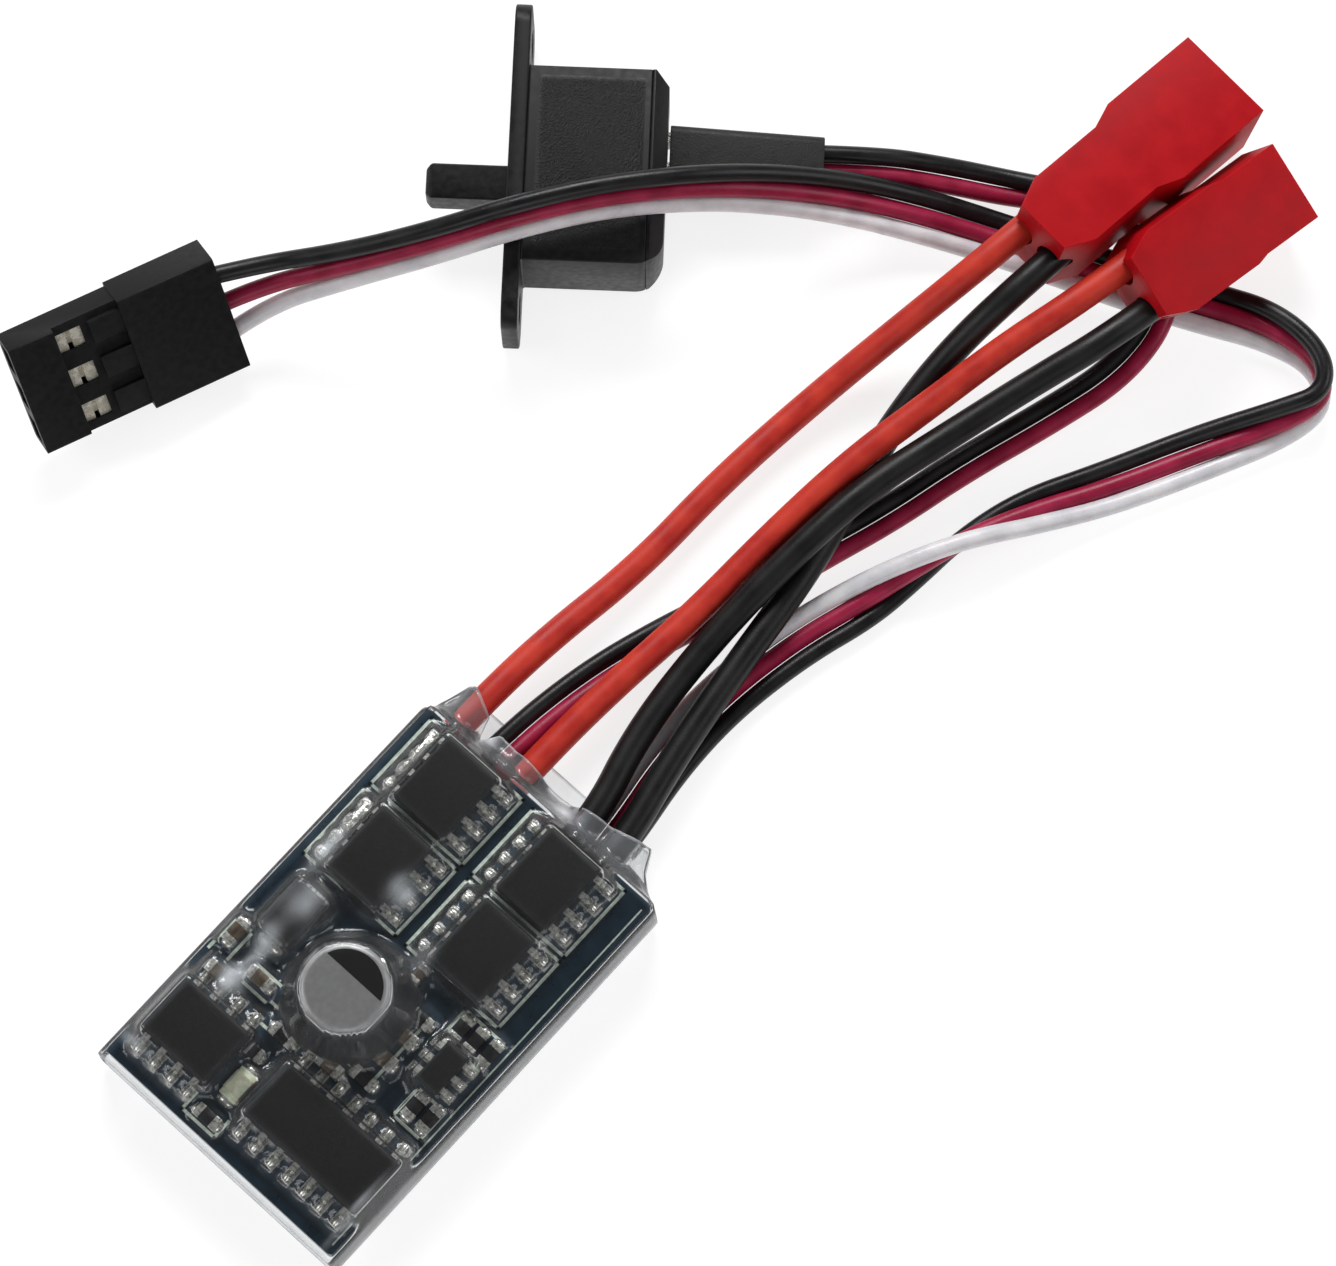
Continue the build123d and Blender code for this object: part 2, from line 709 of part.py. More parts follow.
# The back plate closes the case: a plug inside the walls and a bevelled rim behind them
plate_start = case_back - plate_thickness
pin_offsets = (-1.2, 0.7, 2.6)
washer_section = (1.2, 2.2)
washer_thickness = 0.4
pin_reach = 1.2
with BuildPart() as switch_back_plate:
    with BuildSketch(switch_plane.offset(plate_start - plate_thickness)):
        Rectangle(case_length - 2 * case_wall, case_width - 2 * case_wall)
    extrude(amount=plate_thickness)
    with BuildSketch(switch_plane.offset(plate_start)):
        Rectangle(case_length, case_width)
    extrude(amount=plate_thickness)
    rim = switch_back_plate.faces().sort_by(lambda face: switch_plane.to_local_coords(face.center()).Z)[-1]
    chamfer(rim.edges(), plate_bevel)
    with BuildSketch(switch_plane.offset(plate_start - plate_thickness)):
        with Locations(*[(offset, 0) for offset in pin_offsets]):
            Rectangle(*pin_section)
    extrude(amount=2 * plate_thickness, mode=Mode.SUBTRACT)
    add(corner_cut.part, mode=Mode.SUBTRACT)
write(switch_back_plate, "switch_back_plate")
with BuildPart() as switch_terminals:
    with BuildSketch(switch_plane.offset(plate_start - plate_thickness - washer_thickness)):
        with Locations(*[(offset, 0) for offset in pin_offsets]):
            Rectangle(*washer_section)
    extrude(amount=washer_thickness)
    with BuildSketch(switch_plane.offset(plate_start - plate_thickness)):
        with Locations(*[(offset, 0) for offset in pin_offsets]):
            Rectangle(*pin_section)
    extrude(amount=2 * plate_thickness + pin_reach)
write(switch_terminals, "switch_terminals")

# Slider: the lever through the slot and the carriage behind the flange, with the contact bridge on its back
carriage_gap = 0.05
carriage_start = flange_thickness / 2 + carriage_gap
carriage_depth = 3.2
carriage_length = 6.0
carriage_width = case_width - 2 * case_wall - 0.16
lever_thickness = slot_height - 0.14
lever_bevel = 0.3
with BuildPart() as switch_slider:
    with BuildSketch(switch_plane.offset(carriage_start)):
        with Locations((lever_rest, 0)):
            Rectangle(carriage_length, carriage_width)
    extrude(amount=carriage_depth)
    with BuildSketch(switch_plane.offset(-flange_thickness / 2 - lever_reach)):
        with Locations((lever_rest, 0)):
            Rectangle(lever_width, lever_thickness)
    extrude(amount=lever_reach + flange_thickness + carriage_gap)
    tip = switch_slider.faces().sort_by(lambda face: switch_plane.to_local_coords(face.center()).Z)[0]
    chamfer(tip.edges(), lever_bevel)
write(switch_slider, "switch_slider")
bridge_start = carriage_start + carriage_depth
bridge_end = plate_start - plate_thickness - washer_thickness - carriage_gap
bridge_plate = (3.2, 1.8, 0.25)
bridge_finger = (0.5, 1.2)
with BuildPart() as switch_contact_bridge:
    with BuildSketch(switch_plane.offset(bridge_start)):
        with Locations(((pin_offsets[0] + pin_offsets[1]) / 2, 0)):
            Rectangle(bridge_plate[0], bridge_plate[1])
    extrude(amount=bridge_plate[2])
    with BuildSketch(switch_plane.offset(bridge_start + bridge_plate[2])):
        with Locations(*[(offset, 0) for offset in pin_offsets[:2]]):
            Rectangle(*bridge_finger)
    extrude(amount=bridge_end - bridge_start - bridge_plate[2])
write(switch_contact_bridge, "switch_contact_bridge")

# Shrink sleeve over the two wired terminals: (length along the slide direction, thickness, corner radius)
sleeve_offset = 1.65
sleeve_near = case_back + 0.15
sleeve_far = case_back + 9.4
near_outside, near_inside = (3.3, 2.6, 0.6), (3.0, 2.3, 0.5)
far_outside, far_inside = (2.6, 2.4, 0.6), (2.3, 2.1, 0.5)
with BuildPart() as switch_wire_sleeve:
    for near_outline, far_outline, mode in (
        (near_outside, far_outside, Mode.ADD),
        (near_inside, far_inside, Mode.SUBTRACT),
    ):
        with BuildSketch(switch_plane.offset(sleeve_near)):
            with Locations((sleeve_offset, 0)):
                RectangleRounded(*near_outline)
        with BuildSketch(switch_plane.offset(sleeve_far)):
            with Locations((sleeve_offset, 0)):
                RectangleRounded(*far_outline)
        loft(mode=mode)
write(switch_wire_sleeve, "switch_wire_sleeve")
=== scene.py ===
import math

import bmesh
import bpy
import numpy as np
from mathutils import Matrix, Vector


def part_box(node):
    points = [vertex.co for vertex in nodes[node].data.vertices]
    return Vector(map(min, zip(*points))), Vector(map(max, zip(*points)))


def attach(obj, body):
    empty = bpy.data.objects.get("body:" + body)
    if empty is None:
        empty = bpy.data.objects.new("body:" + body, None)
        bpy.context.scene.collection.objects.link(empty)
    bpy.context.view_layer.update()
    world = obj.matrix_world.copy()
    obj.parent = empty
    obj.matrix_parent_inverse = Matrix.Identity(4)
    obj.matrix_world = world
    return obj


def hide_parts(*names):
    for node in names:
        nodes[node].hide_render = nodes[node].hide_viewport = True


MM = 0.001

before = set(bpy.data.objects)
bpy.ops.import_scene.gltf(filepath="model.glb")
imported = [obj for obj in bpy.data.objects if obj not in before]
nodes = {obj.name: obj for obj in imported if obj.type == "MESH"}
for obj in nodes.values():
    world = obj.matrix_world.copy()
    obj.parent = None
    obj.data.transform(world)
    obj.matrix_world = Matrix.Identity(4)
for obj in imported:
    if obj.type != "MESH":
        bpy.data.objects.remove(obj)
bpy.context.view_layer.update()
scene = bpy.context.scene
scene.view_settings.view_transform = "Standard"

# ---------------------------------------------------------------- camera, floor and light
AZIMUTH = math.radians(-47.828)
ELEVATION = math.radians(76.0)
DISTANCE = 0.3
TARGET = Vector((0.026478, 0.001673, 0.003))
back = Vector((
    math.sin(AZIMUTH) * math.cos(ELEVATION),
    -math.cos(AZIMUTH) * math.cos(ELEVATION),
    math.sin(ELEVATION),
))
camera_data = bpy.data.cameras.new("camera")
camera_data.lens = 137.8
camera_data.sensor_width = 36.0
camera_data.clip_start = 0.01
camera = bpy.data.objects.new("camera", camera_data)
camera.location = TARGET + back * DISTANCE
camera.rotation_euler = (-back).to_track_quat("-Z", "Y").to_euler()
scene.collection.objects.link(camera)
scene.camera = camera

BACKDROP = 1.0
AMBIENT = 0.14
world = bpy.data.worlds.new("studio")
world.use_nodes = True
scene.world = world
sky = world.node_tree
sky_light = sky.nodes["Background"]
sky_light.inputs["Strength"].default_value = AMBIENT
sky_seen = sky.nodes.new("ShaderNodeBackground")
sky_seen.inputs["Strength"].default_value = BACKDROP
for background in (sky_light, sky_seen):
    background.inputs["Color"].default_value = (1.0, 1.0, 1.0, 1.0)
sky_ray = sky.nodes.new("ShaderNodeLightPath")
sky_mix = sky.nodes.new("ShaderNodeMixShader")
sky.links.new(sky_ray.outputs["Is Camera Ray"], sky_mix.inputs[0])
sky.links.new(sky_light.outputs[0], sky_mix.inputs[1])
sky.links.new(sky_seen.outputs[0], sky_mix.inputs[2])
sky.links.new(sky_mix.outputs[0], sky.nodes["World Output"].inputs["Surface"])


def area_light(name, position, size, energy):
    data = bpy.data.lights.new(name, "AREA")
    data.shape = "RECTANGLE"
    data.size, data.size_y = size
    data.energy = energy
    lamp = bpy.data.objects.new(name, data)
    lamp.location = position
    lamp.rotation_euler = (LIGHT_TARGET - Vector(position)).to_track_quat("-Z", "Y").to_euler()
    scene.collection.objects.link(lamp)


LIGHT_TARGET = Vector((0.03, 0.0, 0.0))
area_light("window", (0.27, 0.25, 0.32), (0.26, 0.14), 1.7)
area_light("left", (-0.22, 0.26, 0.26), (0.26, 0.20), 0.55)
area_light("right", (0.28, -0.24, 0.26), (0.26, 0.20), 0.45)
area_light("near", (-0.20, -0.22, 0.24), (0.26, 0.20), 0.30)


# ---------------------------------------------------------------- materials
def linked(tree, source, target):
    tree.links.new(source, target)


def noise(tree, coordinates, scale, detail=3.0, distortion=0.0):
    node = tree.nodes.new("ShaderNodeTexNoise")
    node.inputs["Scale"].default_value = scale
    node.inputs["Detail"].default_value = detail
    node.inputs["Distortion"].default_value = distortion
    linked(tree, coordinates, node.inputs["Vector"])
    return node.outputs["Fac"]


def ramp(tree, value, low, high, to_low=0.0, to_high=1.0):
    node = tree.nodes.new("ShaderNodeMapRange")
    node.inputs["From Min"].default_value = low
    node.inputs["From Max"].default_value = high
    node.inputs["To Min"].default_value = to_low
    node.inputs["To Max"].default_value = to_high
    linked(tree, value, node.inputs["Value"])
    return node.outputs["Result"]


def math_node(tree, operation, first, second):
    node = tree.nodes.new("ShaderNodeMath")
    node.operation = operation
    for socket, value in zip(node.inputs, (first, second)):
        if isinstance(value, (int, float)):
            socket.default_value = value
        else:
            linked(tree, value, socket)
    return node.outputs["Value"]


def blend_color(tree, factor, first, second):
    node = tree.nodes.new("ShaderNodeMix")
    node.data_type = "RGBA"
    linked(tree, factor, node.inputs[0])
    for socket, value in ((node.inputs[6], first), (node.inputs[7], second)):
        if isinstance(value, tuple):
            socket.default_value = (*value, 1.0)
        else:
            linked(tree, value, socket)
    return node.outputs[2]


def object_coordinates(tree):
    return tree.nodes.new("ShaderNodeTexCoord").outputs["Object"]


def add_bump(tree, shader, height, distance):
    node = tree.nodes.new("ShaderNodeBump")
    node.inputs["Distance"].default_value = distance
    node.inputs["Strength"].default_value = 1.0
    linked(tree, height, node.inputs["Height"])
    linked(tree, node.outputs["Normal"], shader.inputs["Normal"])


def surface(name, dark, light, rough, grain, bump=0.0, bump_grain=0.0, **constants):
    """A Principled finish.

    Noise of one scale, grain, mixes two tones and two roughnesses. Noise of a finer scale, bump_grain, raises
    the surface by the distance bump. The constants are further inputs of the shader.
    """
    material = bpy.data.materials.new(name)
    material.use_nodes = True
    tree = material.node_tree
    shader = tree.nodes["Principled BSDF"]
    coordinates = object_coordinates(tree)
    mottle = noise(tree, coordinates, grain)
    spread = ramp(tree, mottle, 0.35, 0.65)
    linked(tree, blend_color(tree, spread, dark, light), shader.inputs["Base Color"])
    linked(tree, ramp(tree, mottle, 0.3, 0.7, *rough), shader.inputs["Roughness"])
    if bump:
        add_bump(tree, shader, noise(tree, coordinates, bump_grain, 4.0), bump)
    for key, value in constants.items():
        shader.inputs[key.replace("_", " ")].default_value = value
    return material


# Tones are linear colours; lengths of subsurface and bump are in metres.
FINISHES = {
    "board_solder_mask": dict(
        dark=(0.004, 0.021, 0.040), light=(0.007, 0.032, 0.056), rough=(0.25, 0.38),
        grain=900, bump=0.01 * MM, bump_grain=3000,
    ),
    "tinned_metal": dict(
        dark=(0.50, 0.50, 0.46), light=(0.80, 0.79, 0.74), rough=(0.22, 0.40),
        grain=5000, bump=0.02 * MM, bump_grain=9000,
        Metallic=0.7,
    ),
    "solder": dict(
        dark=(0.58, 0.58, 0.54), light=(0.86, 0.85, 0.80), rough=(0.14, 0.30),
        grain=4000, bump=0.03 * MM, bump_grain=5000,
        Metallic=0.75,
    ),
    "chip_epoxy": dict(
        dark=(0.009, 0.009, 0.010), light=(0.019, 0.019, 0.020), rough=(0.45, 0.65),
        grain=7000, bump=0.02 * MM, bump_grain=26000,
    ),
    "can_aluminium": dict(
        dark=(0.44, 0.44, 0.44), light=(0.50, 0.50, 0.50), rough=(0.34, 0.38),
        grain=3000, bump=0.001 * MM, bump_grain=30000,
        Metallic=0.2,
    ),
    "black_nylon": dict(
        dark=(0.004, 0.004, 0.005), light=(0.008, 0.008, 0.009), rough=(0.42, 0.56),
        grain=2500, bump=0.006 * MM, bump_grain=16000,
        Specular_IOR_Level=0.16,
    ),
    "black_rubber": dict(
        dark=(0.012, 0.012, 0.012), light=(0.03, 0.03, 0.03), rough=(0.6, 0.8),
        grain=3000, bump=0.02 * MM, bump_grain=9000,
    ),
    "winding_foil": dict(
        dark=(0.45, 0.36, 0.22), light=(0.62, 0.52, 0.36), rough=(0.4, 0.6),
        grain=2500, bump=0.02 * MM, bump_grain=9000,
        Metallic=0.6,
    ),
    "light_lens": dict(
        dark=(0.60, 0.64, 0.48), light=(0.84, 0.86, 0.70), rough=(0.2, 0.35),
        grain=1800, bump=0.02 * MM, bump_grain=6000,
        Subsurface_Weight=0.4, Subsurface_Scale=0.6 * MM,
    ),
    "resistor_black": dict(
        dark=(0.008, 0.008, 0.010), light=(0.02, 0.02, 0.022), rough=(0.3, 0.5),
        grain=5000, bump=0.01 * MM, bump_grain=12000,
    ),
    "ceramic_tan": dict(
        dark=(0.085, 0.058, 0.036), light=(0.16, 0.115, 0.075), rough=(0.35, 0.55),
        grain=3000, bump=0.02 * MM, bump_grain=12000,
    ),
    "red_silicone": dict(
        dark=(0.42, 0.018, 0.012), light=(0.56, 0.036, 0.018), rough=(0.40, 0.54),
        grain=500, bump=0.01 * MM, bump_grain=7000,
        Subsurface_Weight=0.15, Subsurface_Scale=0.5 * MM, Specular_IOR_Level=0.30,
    ),
    "black_silicone": dict(
        dark=(0.004, 0.004, 0.004), light=(0.009, 0.008, 0.008), rough=(0.36, 0.48),
        grain=500, bump=0.01 * MM, bump_grain=7000,
        Specular_IOR_Level=0.30,
    ),
    "white_pvc": dict(
        dark=(0.62, 0.61, 0.64), light=(0.76, 0.75, 0.77), rough=(0.26, 0.40),
        grain=600, bump=0.02 * MM, bump_grain=6000,
        Subsurface_Weight=0.2, Subsurface_Scale=0.5 * MM,
    ),
    "crimson_pvc": dict(
        dark=(0.25, 0.006, 0.036), light=(0.36, 0.012, 0.060), rough=(0.32, 0.44),
        grain=600, bump=0.01 * MM, bump_grain=6000,
        Subsurface_Weight=0.1, Subsurface_Scale=0.5 * MM, Specular_IOR_Level=0.32,
    ),
    "black_pvc": dict(
        dark=(0.004, 0.004, 0.005), light=(0.009, 0.009, 0.010), rough=(0.30, 0.42),
        grain=600, bump=0.01 * MM, bump_grain=6000,
        Specular_IOR_Level=0.32,
    ),
    "red_nylon": dict(
        dark=(0.37, 0.003, 0.007), light=(0.44, 0.005, 0.009), rough=(0.42, 0.50),
        grain=500, bump=0.004 * MM, bump_grain=6000,
        Subsurface_Weight=0.15, Subsurface_Scale=1 * MM, Specular_IOR_Level=0.12,
    ),
    "contact_metal": dict(
        dark=(0.62, 0.57, 0.46), light=(0.84, 0.80, 0.70), rough=(0.22, 0.32),
        grain=2500, bump=0.004 * MM, bump_grain=20000,
        Metallic=0.5,
    ),
    "switch_plastic": dict(
        dark=(0.005, 0.005, 0.006), light=(0.009, 0.009, 0.010), rough=(0.36, 0.50),
        grain=2500, Specular_IOR_Level=0.22,
    ),
    "black_shrink": dict(
        dark=(0.008, 0.009, 0.008), light=(0.015, 0.016, 0.014), rough=(0.45, 0.60),
        grain=1500, bump=0.02 * MM, bump_grain=8000,
        Specular_IOR_Level=0.30,
    ),
    "silkscreen": dict(
        dark=(0.62, 0.72, 0.60), light=(0.92, 0.98, 0.88), rough=(0.5, 0.7),
        grain=5000, bump=0.01 * MM, bump_grain=20000,
    ),
}
finish = {slot: surface(slot, **recipe) for slot, recipe in FINISHES.items()}


def print_polarity_mark(material, center, radius, start, height):
    """A black segment on the can's top: beyond start along X, within the radius and above the height."""
    tree = material.node_tree
    shader = tree.nodes["Principled BSDF"]
    bare = shader.inputs["Base Color"].links[0].from_socket
    split = tree.nodes.new("ShaderNodeSeparateXYZ")
    linked(tree, object_coordinates(tree), split.inputs[0])
    across = math_node(tree, "SUBTRACT", split.outputs["X"], center[0])
    along = math_node(tree, "SUBTRACT", split.outputs["Y"], center[1])
    reach = math_node(
        tree, "ADD", math_node(tree, "MULTIPLY", across, across), math_node(tree, "MULTIPLY", along, along)
    )
    inside = math_node(tree, "LESS_THAN", reach, radius**2)
    beyond = math_node(tree, "GREATER_THAN", across, start)
    on_top = math_node(tree, "GREATER_THAN", split.outputs["Z"], height)
    mark = math_node(tree, "MULTIPLY", math_node(tree, "MULTIPLY", inside, beyond), on_top)
    linked(tree, blend_color(tree, mark, bare, (0.02, 0.02, 0.02)), shader.inputs["Base Color"])


SPARK_BORDER = 0.3 * MM
SPARK_GRAIN = 8000
SPARK_DEPTH = 0.08 * MM


def spark_texture(material, origin, along, half_length, near, far):
    """A grain on the switch case alone: within half_length along its flange, from near to far behind it."""
    tree = material.node_tree
    coordinates = object_coordinates(tree)
    split = tree.nodes.new("ShaderNodeSeparateXYZ")
    linked(tree, coordinates, split.inputs[0])
    x = math_node(tree, "SUBTRACT", split.outputs["X"], origin[0])
    y = math_node(tree, "SUBTRACT", split.outputs["Y"], origin[1])
    side = math_node(
        tree, "ADD", math_node(tree, "MULTIPLY", x, along[0]), math_node(tree, "MULTIPLY", y, along[1])
    )
    behind = math_node(
        tree, "SUBTRACT", math_node(tree, "MULTIPLY", x, along[1]), math_node(tree, "MULTIPLY", y, along[0])
    )
    in_length = ramp(tree, math_node(tree, "ABSOLUTE", side, 0.0), half_length, half_length - SPARK_BORDER)
    past_near = ramp(tree, behind, near, near + SPARK_BORDER)
    before_far = ramp(tree, behind, far, far - SPARK_BORDER)
    mask = math_node(tree, "MULTIPLY", in_length, math_node(tree, "MULTIPLY", past_near, before_far))
    grain = math_node(tree, "MULTIPLY", noise(tree, coordinates, SPARK_GRAIN, 5.0), mask)
    add_bump(tree, tree.nodes["Principled BSDF"], grain, SPARK_DEPTH)


SWITCH_ORIGIN = (41.29 * MM, 27.23 * MM)
SWITCH_ALONG = (0.7673, 0.6413)
CASE_HALF_LENGTH = 5.5 * MM
CASE_FRONT = 1.1 * MM
CASE_BACK = 7.5 * MM
spark_texture(
    finish["switch_plastic"], SWITCH_ORIGIN, SWITCH_ALONG, CASE_HALF_LENGTH, CASE_FRONT, CASE_BACK
)

can_low, can_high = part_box("capacitor_can")
can_center = (can_low + can_high) / 2
MARK_RADIUS = 2.2 * MM
MARK_START = 0.75 * MM
MARK_DEPTH = 0.2 * MM
print_polarity_mark(finish["can_aluminium"], can_center, MARK_RADIUS, MARK_START, can_high.z - MARK_DEPTH)


def paint(piece, slot):
    piece.data.materials.clear()
    piece.data.materials.append(finish[slot])


node_finish = {
    "circuit_board": "board_solder_mask",
    "capacitor_base": "black_nylon",
    "capacitor_can": "can_aluminium",
    "capacitor_bung": "black_rubber",
    "capacitor_winding": "winding_foil",
    "capacitor_feet": "tinned_metal",
    "chip_resistors": "resistor_black",
    "chip_capacitors": "ceramic_tan",
    "surge_diode": "chip_epoxy",
    "surge_diode_terminals": "tinned_metal",
    "status_light": "light_lens",
    "solder_joints": "solder",
    "microcontroller": "chip_epoxy",
    "voltage_regulator": "chip_epoxy",
    "gate_driver": "chip_epoxy",
    "battery_connector_housing": "red_nylon",
    "motor_connector_housing": "red_nylon",
    "battery_connector_contacts": "contact_metal",
    "motor_connector_contacts": "contact_metal",
    "servo_plug_housing": "black_nylon",
    "servo_plug_contacts": "contact_metal",
    "switch_housing": "switch_plastic",
    "switch_back_plate": "switch_plastic",
    "switch_slider": "switch_plastic",
    "switch_terminals": "tinned_metal",
    "switch_contact_bridge": "contact_metal",
    "switch_wire_sleeve": "black_shrink",
}
for node_name in nodes:
    if node_name.endswith("_leads"):
        node_finish[node_name] = "tinned_metal"
    if node_name.startswith("power_transistor") and not node_name.endswith("_leads"):
        node_finish[node_name] = "chip_epoxy"
for node_name, slot_name in node_finish.items():
    paint(nodes[node_name], slot_name)


# ---------------------------------------------------------------- mesh helpers
WELD = 0.001 * MM


def link_mesh(name, bm, slot, body="controller", smooth=True):
    mesh = bpy.data.meshes.new(name)
    bm.to_mesh(mesh)
    bm.free()
    if smooth:
        mesh.shade_smooth()
    piece = bpy.data.objects.new(name, mesh)
    scene.collection.objects.link(piece)
    paint(piece, slot)
    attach(piece, body)
    return piece


def rounded(node, width, segments=3, body="controller"):
    """Stands for a CAD node, with its sharp edges rounded."""
    bm = bmesh.new()
    bm.from_mesh(nodes[node].data)
    bmesh.ops.remove_doubles(bm, verts=bm.verts, dist=WELD)
    bmesh.ops.dissolve_limit(bm, angle_limit=math.radians(1.0), verts=bm.verts, edges=bm.edges)
    piece = link_mesh(node + "_moulding", bm, node_finish[node], body)
    bevel = piece.modifiers.new("rounding", "BEVEL")
    bevel.width = width
    bevel.segments = segments
    bevel.limit_method = "ANGLE"
    bevel.angle_limit = math.radians(32.0)
    bevel.harden_normals = True
    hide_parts(node)
    return piece


def islands(node):
    """The box of each separate solid in a CAD node, as (lowest corner, highest corner)."""
    bm = bmesh.new()
    bm.from_mesh(nodes[node].data)
    bmesh.ops.remove_doubles(bm, verts=bm.verts, dist=WELD)
    boxes = []
    unseen = set(bm.verts)
    while unseen:
        stack = [unseen.pop()]
        group = []
        while stack:
            vertex = stack.pop()
            group.append(vertex.co.copy())
            for edge in vertex.link_edges:
                other = edge.other_vert(vertex)
                if other in unseen:
                    unseen.remove(other)
                    stack.append(other)
        low = Vector([min(point[axis] for point in group) for axis in range(3)])
        high = Vector([max(point[axis] for point in group) for axis in range(3)])
        boxes.append((low, high))
    bm.free()
    return sorted(boxes, key=lambda box: (round(box[0].x, 5), round(box[0].y, 5)))


def add_block(bm, low, high):
    """A closed box between two corners."""
    corners = [
        bm.verts.new((x, y, z))
        for z in (low[2], high[2])
        for y in (low[1], high[1])
        for x in (low[0], high[0])
    ]
    for face in ((0, 2, 3, 1), (4, 5, 7, 6), (0, 1, 5, 4), (1, 3, 7, 5), (3, 2, 6, 7), (2, 0, 4, 6)):
        bm.faces.new([corners[index] for index in face])


def add_dome(bm, center, half_x, half_y, height, square=2.6, rings=4, steps=14):
    """A low closed mound on the board: round-cornered in plan, and flat underneath."""
    loops = []
    for ring in range(rings):
        tilt = ring / rings * math.pi / 2
        loop = []
        for step in range(steps):
            turn = 2 * math.pi * step / steps
            c, s = math.cos(turn), math.sin(turn)
            reach = (abs(c) ** square + abs(s) ** square) ** (-1 / square) * math.cos(tilt)
            loop.append(bm.verts.new((
                center[0] + half_x * reach * c,
                center[1] + half_y * reach * s,
                center[2] + height * math.sin(tilt),
            )))
        loops.append(loop)
    top = bm.verts.new((center[0], center[1], center[2] + height))
    for lower, upper in zip(loops, loops[1:]):
        for index in range(steps):
            after = (index + 1) % steps
            bm.faces.new((lower[index], lower[after], upper[after], upper[index]))
    for index in range(steps):
        bm.faces.new((loops[-1][index], loops[-1][(index + 1) % steps], top))
    bm.faces.new(list(reversed(loops[0])))


# ---------------------------------------------------------------- cords
POWER_DIAMETER = 1.75 * MM
SIGNAL_DIAMETER = 1.1 * MM
RIBBON_PITCH = 1.14

# (x, y, z) in millimetres, from the board to the connector, as in the part
battery_red_route = [
    (9.6, 7.1, 2.16), (15.2, 7.15, 2.1), (21.5, 6.95, 1.5), (28.5, 6.0, 0.95), (36.0, 5.95, 0.9),
    (43.5, 5.2, 1.0), (49.8, 3.9, 3.2), (55.65, 2.38, 6.45), (60.54, 2.01, 5.45),
]
battery_black_route = [
    (9.6, -4.95, 2.16), (15.2, -4.85, 2.16), (21.0, -3.5, 2.15), (28.0, -2.5, 2.1), (34.5, -1.8, 2.05),
    (40.0, -0.6, 1.95), (45.3, 0.6, 1.5), (50.4, 0.75, 3.5), (55.46, -0.11, 6.45), (60.35, -0.48, 5.45),
]
motor_red_route = [
    (9.6, 2.2, 2.16), (15.2, 2.3, 2.1), (21.5, 2.1, 2.1), (28.5, 1.4, 2.15), (35.0, 1.15, 2.7),
    (41.4, 0.5, 3.7), (47.0, -0.65, 4.2), (52.4, -1.8, 5.2), (57.86, -3.41, 6.31), (62.72, -4.12, 5.37),
]
motor_black_route = [
    (9.6, -2.75, 2.16), (15.2, -2.6, 2.16), (21.0, -0.9, 2.15), (28.0, -0.35, 2.4), (34.5, -0.65, 3.7),
    (40.5, -1.2, 4.05), (46.5, -2.7, 3.7), (52.0, -4.3, 4.4), (57.28, -6.08, 5.33), (62.14, -6.79, 4.39),
]
# (x, y, z, tilt in degrees, pitch) in millimetres, as in the part: from the plug or the switch to the board
P = RIBBON_PITCH
servo_ribbon = [
    (22.0, 35.3, 3.96, 50, 2.4), (25.7, 33.9, 3.9, 52, 1.5), (29.9, 30.3, 5.7, 60, P),
    (34.0, 27.0, 7.5, 66, P), (38.1, 24.3, 8.6, 68, P), (42.6, 21.2, 8.7, 68, P),
    (46.9, 17.7, 7.8, 62, P), (50.4, 14.7, 5.8, 50, P), (53.5, 11.6, 3.5, 35, P), (56.0, 8.2, 1.7, 18, P),
    (58.0, 4.6, 0.7, 0, P), (59.8, 0.5, 0.55, 0, P), (61.6, -4.0, 0.55, 0, P), (63.5, -8.3, 0.6, 0, P),
    (65.0, -12.0, 1.4, 45, P), (65.3, -15.6, 1.68, 80, P), (63.7, -17.5, 1.68, 100, P),
    (61.1, -16.7, 1.5, 130, P), (56.6, -14.2, 0.9, 165, P), (51.1, -11.4, 0.6, 180, P),
    (46.7, -8.9, 1.05, 205, P), (42.9, -7.3, 1.65, 250, P), (39.4, -6.3, 1.65, 290, P),
    (36.0, -5.3, 1.1, 335, P), (31.5, -3.8, 0.6, 360, P), (26.0, -2.9, 0.55, 360, P),
    (21.0, -2.95, 0.57, 360, P), (16.3, -3.7, 0.77, 360, P), (11.7, -4.0, 0.77, 360, P),
    (7.2, -4.0, 0.77, 360, P),
]
switch_ribbon = [
    (52.41, 16.33, 3.3, 45, P), (56.4, 12.0, 2.8, 35, P), (59.1, 8.6, 1.5, 15, P),
    (61.3, 5.2, 0.85, 20, P), (63.2, 2.2, 1.05, 65, P), (64.4, -1.0, 1.05, 110, P),
    (64.0, -4.2, 1.82, 155, P), (61.2, -6.8, 1.7, 180, P), (57.0, -7.2, 1.0, 180, P),
    (52.0, -5.8, 0.55, 180, P), (46.3, -4.0, 0.55, 180, P), (41.2, -2.8, 0.55, 180, P),
    (36.6, -1.3, 0.55, 180, P), (31.9, 0.1, 0.55, 180, P), (27.2, 2.0, 0.55, 180, P),
    (21.4, 3.7, 0.9, 180, P), (14.4, 4.5, 1.5, 180, P), (7.3, 4.5, 1.5, 180, P),
]


def ribbon_wire(ribbon, offset):
    """One wire's route from the board outwards; offset counts pitches from the ribbon's middle."""
    route = []
    for index, (x, y, z, tilt, pitch) in enumerate(ribbon):
        before = ribbon[max(index - 1, 0)]
        after = ribbon[min(index + 1, len(ribbon) - 1)]
        along = Vector((after[0] - before[0], after[1] - before[1])).normalized()
        side = offset * pitch * math.cos(math.radians(tilt))
        rise = offset * pitch * math.sin(math.radians(tilt))
        route.append((x - side * along.y, y + side * along.x, z + rise))
    return route[::-1]


